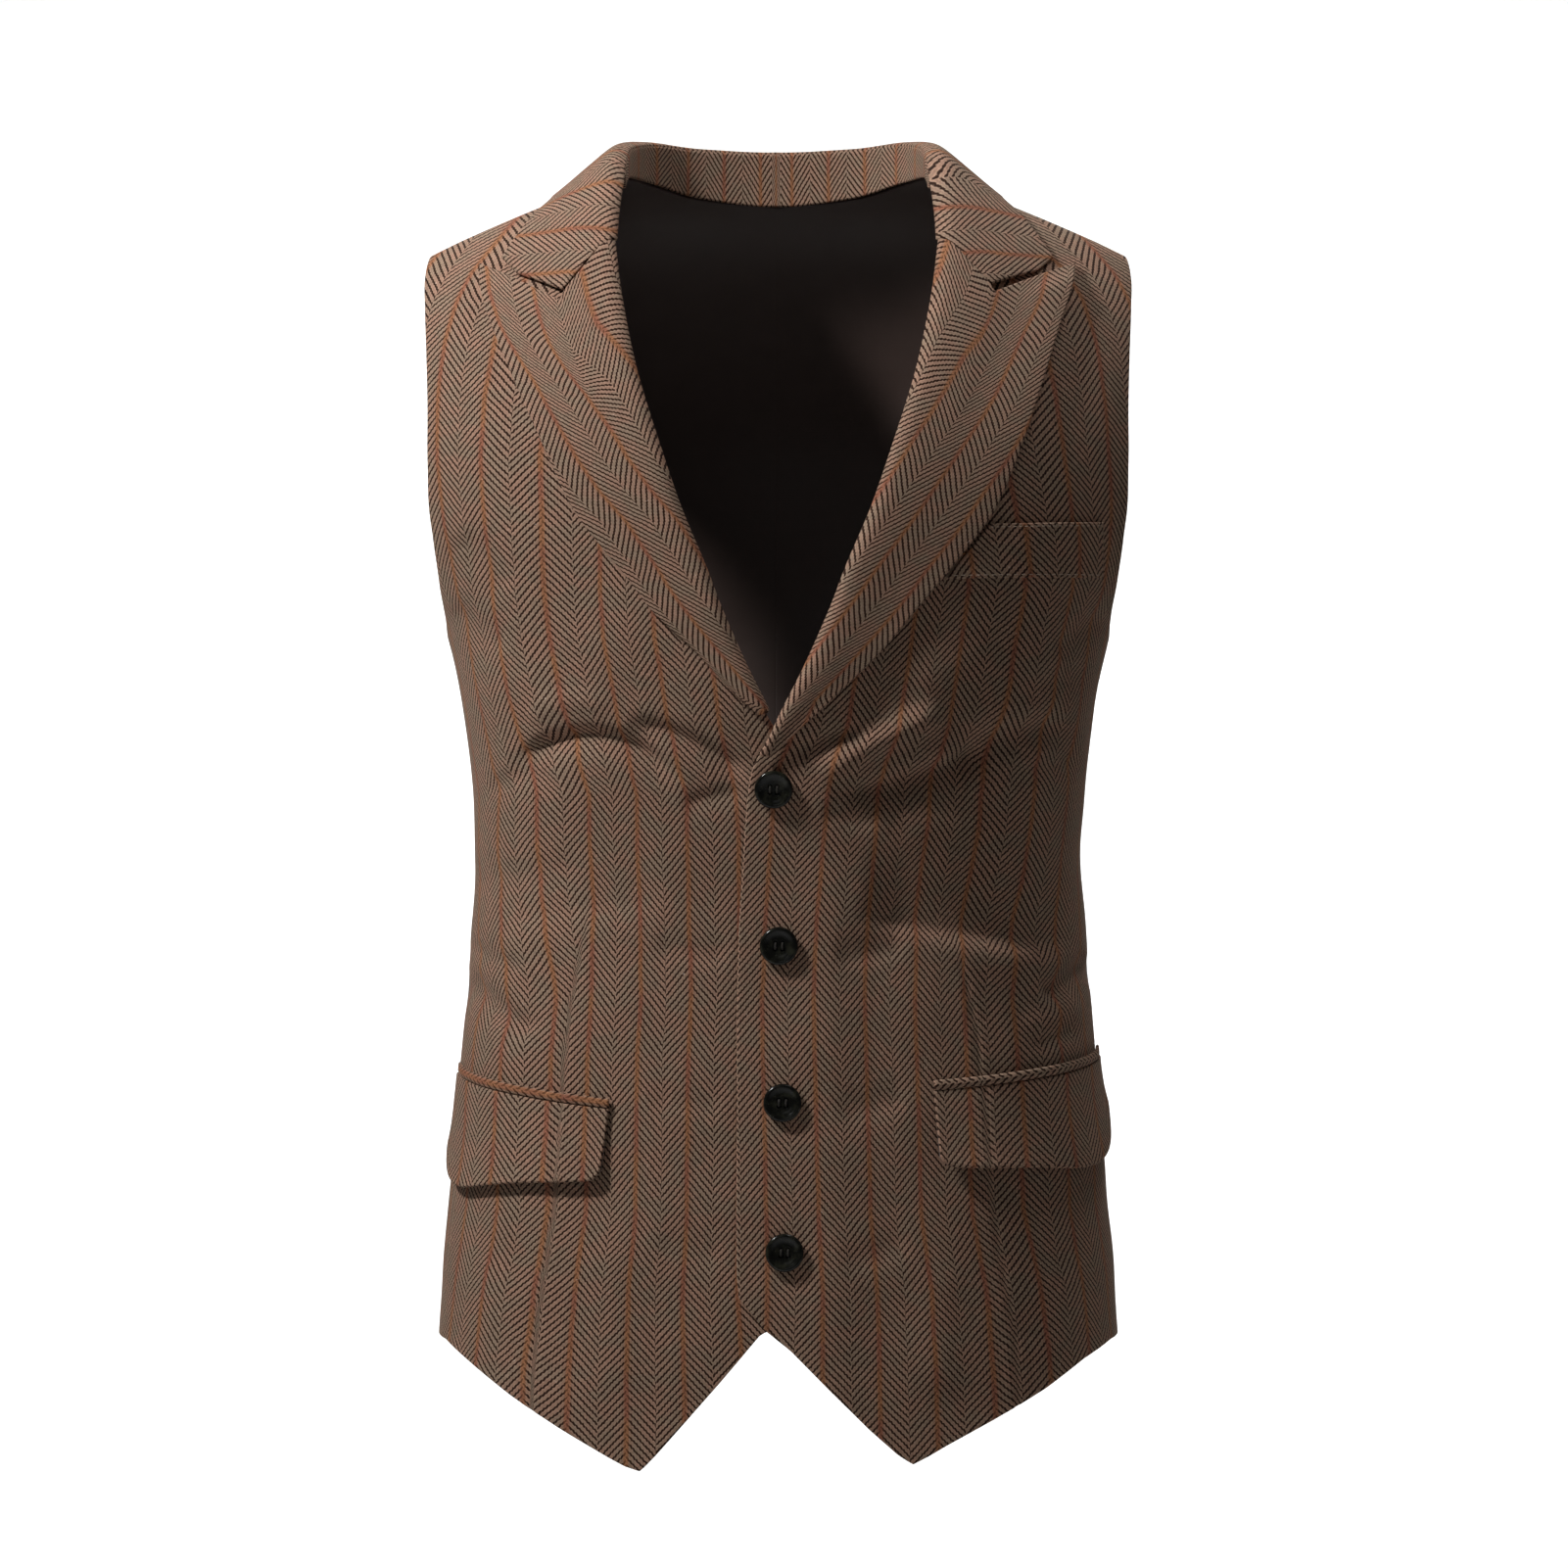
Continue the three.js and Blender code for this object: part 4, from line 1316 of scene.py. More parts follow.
GRAIN = Table(
    ("z", "right", "right_spread", "left", "left_spread"),
    (
        (-640, -6.0, 1.20, 1.0, 1.15),
        (-586, -4.0, 1.16, 1.8, 1.115),
        (-547, -1.5, 1.09, 2.9, 1.076),
        (-508, -2.0, 1.03, 2.3, 1.015),
        (-430, -2.6, 1.03, 0.6, 1.01),
        (-401, -4.0, 1.02, 0.2, 1.0),
        (-362, -2.4, 1.0, 1.8, 1.0),
        (-323, -2.0, 1.02, 4.5, 1.02),
        (-299, -0.8, 1.0, 6.2, 1.03),
        (-284, 3.1, 1.01, 9.0, 1.03),
        (-266, 7.2, 1.02, 16.5, 1.01),
        (-245, 9.8, 1.045, 19.5, 1.02),
        (-221, 13.6, 1.05, 24.0, 1.0),
        (-196, 15.1, 1.05, 27.5, 1.0),
        (-157, 15.0, 1.05, 22.0, 1.0),
        (-130, 15.0, 1.05, 17.0, 1.0),
        (-100, 12.5, 1.05, 13.0, 1.0),
        (-71, 7.5, 1.05, 7.5, 1.0),
        (-49, 0.0, 1.05, 0.0, 1.0),
        (-34, -8.0, 1.05, -8.5, 1.0),
        (-20, -18.0, 1.05, -20.5, 1.0),
        (10, -36.0, 1.05, -42.5, 1.0),
    ),
)
STRIPE_START = Table(("side", "mm"), ((-1, 20.5), (1, -6.8)))
HIP_EASE = 11.0
HIP_FROM = 90.0
HIP_RUN = 70.0


def body_pattern(turn: Array, down: Array, side: Side, points: Array) -> Array:
    """Where the tweed's pattern is at points of a front, in mm round and down.

    Round is the cloth's length from the centre, eased over the hip bone, plus what the dart takes in,
    moved and spread at each height as the grain of the worn cloth is.

    Args:
        turn: Angle round the ring.
        down: Length of cloth down from the shoulder.
        side: Which front.
        points: The same places on the folded cloth.

    Returns:
        The two pattern places of each point.
    """
    around, length = FIGURE.cloth_uv(turn, down, Half.FRONT)
    eased = around - HIP_EASE * ease((around - HIP_FROM) / HIP_RUN)
    start = STRIPE_START.straight("side", "mm", side.value)
    moved_by = GRAIN.straight("z", side.word, points[..., 2])
    spread = GRAIN.straight("z", side.word + "_spread", points[..., 2])
    run = (eased - start - moved_by) / spread + DARTS.intake(points, side)
    return np.stack([side.value * run, length], -1)


# Backs


@dataclass
class Back:
    """One back, from the centre back seam to the side."""

    side: Side
    finishes: Finishes
    thickness: float = 2.0
    hem: float = -579.0
    middle: float = -235.0
    neck_down: float = 68.0
    neck_out: float = 78.0
    centre_radius: float = 165.0
    side_radius: float = 100.0
    top_width: float = 209.0
    top_reach: float = 200.0
    armhole: tuple[tuple[float, float], ...] = (
        (174, -52), (167, -92), (163, -132), (164, -168), (166, -196), (168, -213), (175, -224),
    )

    def top_down(self, out: Array) -> Array:
        """Length down of the neck's curve at a distance out, then the shoulder seam.

        Args:
            out: Distance from the centre.

        Returns:
            The length of cloth down, below 0 past the seam.
        """
        rows = tuple(row for row in COLLAR.rows if 0 <= row[0] < 0.5)
        neck = -Table(COLLAR.columns, rows).read("foot_out", "foot", out)
        return np.where(out >= self.neck_out, -SEAM_LAP, neck)

    def build(self) -> bpy.types.Object:
        """Columns run from the centre seam to the side, rows as panel_rows() gives them, each straight between
        the two, with the uppermost bent to the neck's curve and the shoulder seam.

        Returns:
            The piece.
        """
        c, r = grid(graded(74, 190), panel_rows(66, 96))
        armhole = Edge((ridge_row(SHOULDER_OUT), *self.armhole), self.side, Half.BACK)
        seam = side_seam(self.side, Half.BACK)
        upper, lower = np.clip(r, None, 1), np.clip(r - 1, 0, None)
        pick = r < 1
        outer = [np.where(pick, a, b) for a, b in zip(armhole.follow(upper), seam.follow(lower))]
        middle_down, hem_down = (
            FIGURE.chart(np.array(0.0), np.array(z), Half.BACK)[1] for z in (self.middle, self.hem)
        )
        inner = np.where(pick, mix(self.neck_down, middle_down, upper), mix(middle_down, hem_down, lower))
        centre = math.pi + SEAM_LAP / self.centre_radius
        turn = mix(centre, np.maximum(outer[0], QUARTER - SEAM_LAP / self.side_radius), c)
        tip_turn, tip_down = armhole.follow(np.array(0.0))
        wide, _ = FIGURE.reach(mix(math.pi, tip_turn, c))
        top = np.clip(wide * self.top_width, 0, self.top_reach)
        extra = self.top_down(top) - mix(self.neck_down, tip_down, c)
        down = mix(inner, outer[1], c) + extra * (1 - ease(r / 0.6))
        points, outward = BODY.on_turn(turn, down, -self.thickness / 2, self.side, Half.BACK)
        around, length = FIGURE.cloth_uv(turn, down, Half.BACK)
        cloth = Cloth(points, outward, np.stack([around * self.side.value, length], -1))
        piece = cloth.shell(f"cloth_back_{self.side.word}", self.thickness)
        dress(piece, [self.finishes.back, self.finishes.lining], "back_cloth", f"back_{self.side.word}")
        return piece


# Collar


COLLAR = Table(
    ("at", "foot_out", "foot", "rise", "edge_out", "edge"),
    (
        (-0.2, -44, -56, 27, -62, -87),
        (0, 0, -68, 30, 0, -99),
        (0.2, 44, -56, 27, 62, -87),
        (0.35, 68, -30, 22, 94, -54),
        (0.48, 78, -4, 17.5, 112, 0),
        (0.6, 80.5, 30, 13, 116, 34),
        (0.75, 81.5, 66, 8, 124, 55),
        (0.88, 81.5, 98, 3.5, 131, 76),
        (1, 81, 122, 0, 139.5, 96),
    ),
)
CURL = 2.2
ROLL_START = -0.9
ROLL_LIFT = 4.2
NECK_ROLL_LIFT = 1.9
STAND_INSET = 3.6


def roll_lift(
    width: Array, c: Array, base: Array | float, start: Array | float, top: Array | float
) -> Array:
    """Lift of a turned-back edge: start + (top - start)(1 - exp(-w/curl)), eased to base at the rim.

    Args:
        width: Width from the roll to the rim.
        c: Share of that width, 0 at the roll.
        base: Lift at the rim.
        start: Lift on the roll line itself.
        top: Lift that the roll swells towards.

    Returns:
        The lift at each point.
    """
    return mix(start + (top - start) * (1 - np.exp(-width * c / CURL)), base, ease(c))


@dataclass
class Collar:
    """The collar's fall and stand, from gorge to gorge round the neck.

    Along it, t is 0 at the centre back and 1 at the gorge.
    """

    finishes: Finishes
    thickness: float = 2.4
    stand_thickness: float = 2.0
    dip: Table = Table(("c", "down"), ((0, 0), (0.444, 36), (0.855, 17.5), (1, 0)))
    level: Table = Table(("side", "z"), ((-1, 13.4), (1, 2)))
    stripe: float = 11.0
    end_cut: Table = Table(("c", "mm"), ((0, 0.8), (0.4, 0.8), (0.46, -0.4), (0.75, 0.1), (1, 0)))
    notch_low: Table = Table(("side", "mm"), ((-1, 4.5), (1, 0)))
    dip_from: float = 0.66
    end_from: float = 0.9
    middle_raise: float = 0.3
    end_sink: float = 0.35
    full_rise: float = 8.0
    fall_depth: float = 30.0
    inward_slant: float = 0.9
    rise_power: float = 1.12
    roll_drop: float = 3.0
    level_from: float = 0.7
    level_scale: float = 1.18
    level_blend: tuple[float, float] = (0.55, 0.3)
    stand_reach: float = 0.7
    stand_height: float = 26.0
    stand_sink: float = 1.0
    stand_below: float = 3.4

    def inward(self, p: Array) -> Array:
        """Level directions towards the neck's middle."""
        return unit(vec(-p[..., 0], -p[..., 1] * self.inward_slant, 0 * p[..., 0]))

    def fall(self) -> bpy.types.Object:
        """The fall: from the roll over the stand down to its edge on the shoulders.

        Each column runs from the neck's line to the edge's line, lifted as roll_lift() says and raised at
        the neck by (1 - c)^1.12.

        Returns:
            The piece.
        """
        c, r = grid(graded(44, 60), graded(190, 500))
        side, t = np.where(r < 0.5, -1, 1), np.abs(2 * r - 1)

        def get(name: str) -> Array:
            """A column of the collar's table at each point."""
            return COLLAR.read("at", name, t)

        out = mix(get("foot_out"), get("edge_out"), c)
        low = 1 + self.notch_low.straight("side", "mm", side) / self.dip.column("down").max()
        dip = self.dip.straight("c", "down", c) * low * ease((t - self.dip_from) / (1 - self.dip_from))
        end = ease((t - self.end_from) / (1 - self.end_from))
        down = mix(get("foot"), get("edge"), c) + dip + self.end_cut.straight("c", "mm", c) * end
        rise = get("rise")
        width = np.hypot(get("edge_out") - get("foot_out"), self.fall_depth)
        high = np.minimum(rise / self.full_rise, 1)
        base = LAY_GAP + self.thickness / 2 + self.middle_raise * (1 - end) - self.end_sink * end
        top = mix(ROLL_LIFT, NECK_ROLL_LIFT, high)
        p, n = BODY.on_out(out, down, roll_lift(width, c, base, ROLL_START, top), side)
        laid = p[..., 2].copy()
        curl = np.exp(-width * c / CURL)
        p = p + self.inward(p) * (STAND_INSET * curl * high)[..., None]
        p[..., 2] += rise * (1 - np.clip(c, 0, 1)) ** self.rise_power - self.roll_drop * curl * high
        above = self.level.straight("side", "z", side) - laid
        level = self.length(self.level_from) + self.level_scale * above
        start, span = self.level_blend
        run = mix(self.length(t), level, ease((t - start) / span))
        uv = np.stack([np.sign(2 * r - 1) * (run - self.stripe), -c * width], -1)
        piece = Cloth(p, n, uv).shell("cloth_collar", self.thickness)
        dress(piece, [self.finishes.tweed, self.finishes.tweed], "tweed", "collar")
        return piece

    def length(self, t: Array | float) -> Array:
        """Length of cloth from the centre back along the collar's middle, a sum of chords.

        Args:
            t: Share of the way to the gorge.

        Returns:
            The length up to each share.
        """
        s = np.linspace(0, 1, 60)
        out = (COLLAR.read("at", "foot_out", s) + COLLAR.read("at", "edge_out", s)) / 2
        down = (COLLAR.read("at", "foot", s) + COLLAR.read("at", "edge", s)) / 2
        return np.interp(t, s, chord_run(FIGURE.at_out(out, down, 1)))

    def stand(self) -> bpy.types.Object:
        """The stand: an upright band inside the neck seam, under the fall's roll.

        Returns:
            The piece.
        """
        c, r = grid(graded(10, self.stand_height), graded(120, 240))
        r = mix(-self.stand_reach, self.stand_reach, r)
        side, t = np.where(r < 0, -1, 1), np.abs(r)
        p = FIGURE.at_out(COLLAR.read("at", "foot_out", t), COLLAR.read("at", "foot", t), side)
        inward = self.inward(p)
        p = p + inward * STAND_INSET
        p[..., 2] += mix(-self.stand_sink, COLLAR.read("at", "rise", t) - self.stand_below, c)
        uv = np.stack([np.sign(r) * (self.length(t) - self.stripe), c * self.stand_height], -1)
        piece = Cloth(p, -inward, uv).shell("cloth_collar_stand", self.stand_thickness)
        dress(piece, [self.finishes.tweed, self.finishes.tweed], "tweed", "collar_stand")
        return piece

    def build(self) -> None:
        """Makes the fall and the stand."""
        self.fall()
        self.stand()


# Lapels


@dataclass
class Lapel:
    """A peak lapel, turned back along the roll line.

    Down it, t is 0 at the gorge and 1 at the roll's foot, past which it narrows to its end.
    """

    side: Side
    finishes: Finishes
    thickness: float = 2.2
    roll: Table = Table(
        ("at", "out", "z"),
        (
            (0, 81, -20.6),
            (0.13, 76.3, -52),
            (0.28, 68.4, -89),
            (0.45, 55.6, -130),
            (0.57, 46.3, -157),
            (0.7, 33.7, -187),
            (0.79, 26.1, -207),
            (0.9, 14.5, -233.5),
            (1, 2.5, -257.5),
        ),
    )
    rim: Table = Table(
        ("at", "right", "left", "z"),
        (
            (0, 150.9, 150.9, -31),
            (0.06, 149, 147, -45),
            (0.16, 141.9, 139.8, -66),
            (0.3, 128.2, 130, -98),
            (0.42, 116, 121, -125),
            (0.57, 100.3, 107.5, -158),
            (0.65, 86.8, 94.5, -176),
            (0.73, 73.5, 81.8, -192),
            (0.81, 60.5, 67.8, -209),
            (0.9, 41, 53, -227),
            (1, 22.5, 32.5, -247),
        ),
    )
    dip: Table = Table(("c", "z"), ((0, 0), (0.372, -23.4), (1, 0)))
    ends: Table = Table(("side", "out", "z", "edge"), ((-1, 3.6, -258.5, 8.5), (1, -8, -279, -3)))
    grain: Table = Table(
        ("at", "right", "left"),
        (
            (0, 16, 4),
            (0.06, 14.5, 2),
            (0.14, 12, -3),
            (0.2, 7, -6.5),
            (0.28, 0, -9.5),
            (0.35, -3, -12),
            (0.46, -7.5, -18),
            (0.53, -13, -23.3),
            (0.6, -20.7, -27.8),
            (0.74, -27.1, -37.1),
            (0.84, -34.3, -44.8),
            (0.93, -41.3, -52.3),
            (1, -47.3, -58.3),
        ),
    )
    grain_turn: float = 0.22
    notch_low: Table = Table(("side", "mm"), ((-1, 4.5), (1, 0)))
    stand_off: Table = Table(("side", "mm"), ((-1, 1.8), (1, 3.2)))
    top_cut: Table = Table(
        ("c", "mm"), ((0, 2.5), (0.35, 2.5), (0.39, -0.6), (0.6, 0.2), (0.75, 0.8), (1, 0.8))
    )
    roll_rows: float = 0.85
    dip_run: float = 0.5
    roll_out: float = 1.1
    rim_lift: tuple[float, float] = (0.45, 0.55)
    rim_ease: tuple[float, float, float] = (0.75, 0.15, 0.6)
    seam_lift: float = 0.4
    end_raise: float = 0.4

    def row_place(self, share: Array) -> tuple[Array, Array]:
        """Where a row is: its t down the roll, and past it from 0 at the roll's foot to 1 at the end.

        Args:
            share: Share of all rows.

        Returns:
            The two places of each row.
        """
        upper = share / self.roll_rows
        lower = 1 + (share - self.roll_rows) / (1 - self.roll_rows)
        r = np.where(share < self.roll_rows, upper, lower)
        return np.minimum(r, 1), np.maximum(r - 1, 0)

    def lift(self, c: Array, t: Array, past: Array, width: Array) -> Array:
        """Lift off the front: the roll, the rim that stands off, and the gorge's inner end.

        Args:
            c: Share of the width, 0 at the roll.
            t: Share down the roll.
            past: Share past the roll's foot.
            width: Width from the roll to the rim.

        Returns:
            The lift at each point.
        """
        base = LAY_GAP + self.thickness / 2
        start = mix(ROLL_START, base + self.end_raise, ease(past * 1.6))
        off = self.stand_off.straight("side", "mm", self.side.value)
        (rim_from, rim_run), (fall, fall_from, fall_run) = self.rim_lift, self.rim_ease
        rim_off = off * ease((c - rim_from) / rim_run) * ease(t / 0.05)
        rim_off = rim_off * (1 - fall * ease((t - fall_from) / fall_run))
        seam = self.seam_lift * ease(1 - t * 30) * ease((0.4 - c) / 0.05)
        return roll_lift(width, c, base, start, ROLL_LIFT) + rim_off + seam

    def build(self) -> bpy.types.Object:
        """Makes the lapel: each row runs from the roll line to the rim, lifted most near the roll.

        Returns:
            The piece.
        """
        c, share = grid(graded(44, 60), graded(150, 300))
        t, past = self.row_place(share)
        end = {k: float(self.ends.straight("side", k, self.side.value)) for k in ("out", "z", "edge")}
        roll_out = mix(self.roll.read("at", "out", t), end["out"], past)
        roll_z = mix(self.roll.read("at", "z", t), end["z"], past)
        rim_out = mix(self.rim.read("at", self.side.word, t), end["edge"], past)
        rim_z = mix(self.rim.read("at", "z", t), end["z"] - 1, past)
        low = 1 - self.notch_low.straight("side", "mm", self.side.value) / self.dip.column("z").min()
        dip = self.dip.straight("c", "z", c) * low * (1 - ease(t / self.dip_run))
        out = mix(roll_out, rim_out, c) + self.roll_out * (1 - c) * ease(1 - c * 6)
        top = ease(1 - t * 12)
        z = mix(roll_z, rim_z, c) + dip + self.top_cut.straight("c", "mm", c) * top
        width = np.hypot(rim_out - roll_out, rim_z - roll_z)
        lift = self.lift(c, t, past, width)
        p, n = BODY.on_out(out, FIGURE.down(FIGURE.ridge(out) - z, Half.FRONT), lift, self.side.value)
        steps = np.linalg.norm(np.diff(p[:, :1], axis=0), axis=-1)
        run = np.concatenate([np.zeros((1, 1)), np.cumsum(steps, 0)]) * np.ones(c.shape[1])
        first = self.grain.straight("at", self.side.word, t)
        uv = np.stack([self.side.value * (width * c - first), run - self.grain_turn * width * c], -1)
        piece = Cloth(p, n, uv).shell(f"cloth_lapel_{self.side.word}", self.thickness)
        dress(piece, [self.finishes.tweed, self.finishes.tweed], "tweed", f"lapel_{self.side.word}")
        return piece


# Pockets


@dataclass
class HipPocket:
    """A slanted pocket: a jetting strip along its mouth and a flap below it."""

    side: Side
    finishes: Finishes
    strip_thickness: float = 1.8
    flap_thickness: float = 2.2
    jet_height: float = 4.6
    jet_raise: float = 0.5
    jet_swell: float = 0.8
    jet_flat_from: float = 0.85
    jet_stripe: float = 0.45
    seam_gap: float = 0.4
    flap_length: float = 100.0
    corner_fullness: float = 0.98
    top_stand: float = 0.1
    foot_bow: float = 2.5
    foot_stand: float = 3.2
    chart_down: float = 400.0
    places: Table = Table(
        (
            "side", "inner", "z_inner", "outer", "z_outer",
            "foot", "z_foot_in", "z_foot_out", "round_in", "run_out", "rise_out",
        ),
        (
            (-1, 83, -450.6, 161, -433.4, 87, -491, -499, 6, 36, 30),
            (1, 77.7, -441.3, 162, -425.2, 80.5, -484, -489.5, 6, 52, 42),
        ),
    )

    def place(self, name: str) -> float:
        """A size of this side's pocket."""
        return float(self.places.straight("side", name, self.side.value))

    def turns(self) -> tuple[float, float, float]:
        """Where the pocket lies round the body.

        Returns:
            The turns of the mouth's two ends and of the flap's inner foot.
        """
        return tuple(
            float(FIGURE.chart(np.array(self.place(a)), np.array(self.place(b)), Half.FRONT)[0])
            for a, b in (("inner", "z_inner"), ("outer", "z_outer"), ("foot", "z_foot_in"))
        )

    def lay(self, turn: Array, z: Array, lift: Array | float) -> tuple[Array, Array, Array]:
        """Points, outward directions and pattern places at turns and heights.

        Args:
            turn: Angle round the ring.
            z: Height.
            lift: Distance off the figure.

        Returns:
            The three arrays.
        """
        here = FIGURE.at_turn(turn, np.full_like(turn, self.chart_down), self.side, Half.FRONT)
        down = FIGURE.down(FIGURE.ridge(self.side.value * here[..., 0]) - z, Half.FRONT)
        p, n = BODY.on_turn(turn, down, lift, self.side, Half.FRONT)
        return p, n, body_pattern(turn, down, self.side, p)

    def jet(self) -> bpy.types.Object:
        """The strip: a narrow band along the mouth, its cloth turned to run along it.

        It is raised by a sine across it, and comes down to the front at its outer end.

        Returns:
            The piece.
        """
        c, r = grid(graded(70, 98), graded(6, self.jet_height))
        a, b, _ = self.turns()
        z = mix(self.place("z_inner"), self.place("z_outer"), c) - r * self.jet_height
        flat = ease((c - self.jet_flat_from) / (1 - self.jet_flat_from))
        raised = (self.jet_raise + self.jet_swell * np.sin(math.pi * r)) * (1 - flat)
        p, n, uv = self.lay(mix(a, b, c), z, LAY_GAP + self.strip_thickness / 2 + raised)
        middle = self.jet_height * self.jet_stripe + (TWEED.half_band if self.side is Side.LEFT else 0)
        turned = np.stack([r * self.jet_height - middle, uv[..., 0]], -1)
        piece = Cloth(p, n, turned).shell(f"cloth_jet_{self.side.word}", self.strip_thickness)
        dress(piece, [self.finishes.tweed, self.finishes.tweed], "tweed", f"jet_{self.side.word}")
        return piece

    def flap(self) -> bpy.types.Object:
        """The flap: from under the strip down to a foot with rounded corners, standing off a little.

        Returns:
            The piece.
        """
        c, r = grid(graded(70, 98), graded(34, 42))
        a, b, low = self.turns()

        def corner(distance: Array, run: float, rise: float) -> Array:
            """Height lost at a distance from the flap's end: rise (1 - sqrt(1 - t^2)) over the run."""
            t = np.clip(1 - distance / run, 0, 1)
            return rise * (1 - np.sqrt(1 - t * t * self.corner_fullness))

        turn = mix(mix(a, low, r), b, c)
        top = mix(self.place("z_inner"), self.place("z_outer"), c) - self.jet_height - self.seam_gap
        foot = mix(self.place("z_foot_in"), self.place("z_foot_out"), c)
        foot = foot + self.foot_bow * np.sin(math.pi * c)
        inner, along = self.place("round_in"), c * self.flap_length
        outer = corner((1 - c) * self.flap_length, self.place("run_out"), self.place("rise_out"))
        z = mix(top, foot + (corner(along, inner, inner) + outer), r)
        stand = LAY_GAP + self.flap_thickness / 2 + self.top_stand + self.foot_stand * r * r
        p, n, uv = self.lay(turn, z, stand)
        piece = Cloth(p, n, uv).shell(f"cloth_flap_{self.side.word}", self.flap_thickness)
        dress(piece, [self.finishes.tweed, self.finishes.lining], "tweed", f"flap_{self.side.word}")
        return piece

    def build(self) -> None:
        """Makes the strip and the flap."""
        self.jet()
        self.flap()


@dataclass
class BreastWelt:
    """The breast pocket's welt on the wearer's left: a parallelogram with stitched edges."""

    finishes: Finishes
    thickness: float = 1.8
    height: float = 27.5
    top_in: float = 105.5
    foot_in: float = 84.0
    top_out: float = 162.5
    z_in: float = -164.6
    z_out: float = -162.2
    stitch: float = 2.2
    stitch_step: float = 3.4
    stitch_run: float = 70.0
    stitch_start: float = 2.5
    stitch_end: float = 2.0
    stitch_inset: float = 1.7
    stitch_arch: tuple[float, float] = (0.16, 0.34)
    stitch_radius: float = 0.17
    pattern_shift: float = 2.0

    def surface(self, c: Array, r: Array, lift: float) -> Cloth:
        """The welt's surface.

        Args:
            c: Share along it, 0 at the inner end.
            r: Share down it.
            lift: Distance off the figure.

        Returns:
            The surface.
        """
        z = mix(self.z_in, self.z_out, c) - r * self.height
        out = mix(mix(self.top_in, self.foot_in, r), self.top_out, c)
        turn, down = FIGURE.chart(out, z, Half.FRONT)
        p, n = BODY.on_turn(turn, down, lift, Side.LEFT, Half.FRONT)
        return Cloth(p, n, body_pattern(turn, down, Side.LEFT, p) - (self.pattern_shift, 0))

    def build(self) -> None:
        """Makes the welt and its two rows of stitches."""
        places = grid(graded(56, 70), graded(18, self.height))
        cloth = self.surface(*places, LAY_GAP + self.thickness / 2)
        piece = cloth.shell("cloth_breast_welt", self.thickness)
        dress(piece, [self.finishes.tweed, self.finishes.tweed], "tweed", "breast_welt")
        self.stitches()

    def stitches(self) -> None:
        """Short pale stitches along the upper and lower edges, each a low arch that dips in at its ends."""
        length = self.stitch_run
        high, bend = self.stitch_arch
        inset = self.stitch_inset / self.height
        at = np.arange(self.stitch_start, length - self.stitch_end, self.stitch_step) / length
        along = np.linspace(-0.5, 0.5, 5) * self.stitch / length
        rows = []
        for r in (inset, 1 - inset):
            c = at[:, None] + along
            sunk = self.surface(c, np.full_like(c, r), LAY_GAP + self.thickness)
            arch = high - bend * (2 * along * length / self.stitch) ** 2
            rows.append(sunk.points + sunk.outward * arch[:, None])
        piece = tubes("welt_stitches", np.concatenate(rows), self.stitch_radius, 6)
        dress(piece, [self.finishes.pale_thread], "tweed")


def ring_quads(number: Array) -> Array:
    """Quads between neighbouring rings, each ring closed on itself.

    Args:
        number: Vertex numbers, a ring along the last axis and the rings along the one before.

    Returns:
        Four vertex numbers for each quad.
    """
    beside = np.roll(number, -1, axis=-1)
    corners = [number[..., :-1, :], beside[..., :-1, :], beside[..., 1:, :], number[..., 1:, :]]
    return np.stack(corners, -1).reshape(-1, 4)


THREAD_GUIDE = np.array([0.31, -0.8, 0.51])
THREAD_END = 0.45


def tubes(name: str, paths: Array, radius: float, sides: int) -> bpy.types.Object:
    """Round threads along many paths: rings about each path's points, closed at both ends.

    Args:
        name: The piece's name.
        paths: Array of paths, points and coordinates, in mm.
        radius: The thread's radius.
        sides: Corners of each ring.

    Returns:
        One object that holds all the threads.
    """
    count, steps = paths.shape[:2]
    along = unit(np.gradient(paths, axis=1))
    u = unit(np.cross(along, np.broadcast_to(THREAD_GUIDE, along.shape)))
    w = np.cross(along, u)
    angle = np.linspace(0, FULL, sides, endpoint=False)
    ring = u[..., None, :] * np.cos(angle)[:, None] + w[..., None, :] * np.sin(angle)[:, None]
    taper = np.ones(steps)
    taper[[0, -1]] = THREAD_END
    points = paths[..., None, :] + ring * (radius * taper)[:, None, None]
    number = np.arange(count * steps * sides).reshape(count, steps, sides)
    start, end = number[:, 0, ::-1], number[:, -1, :]
    return make_object(name, points.reshape(-1, 3), [ring_quads(number), start, end])


# Buttons


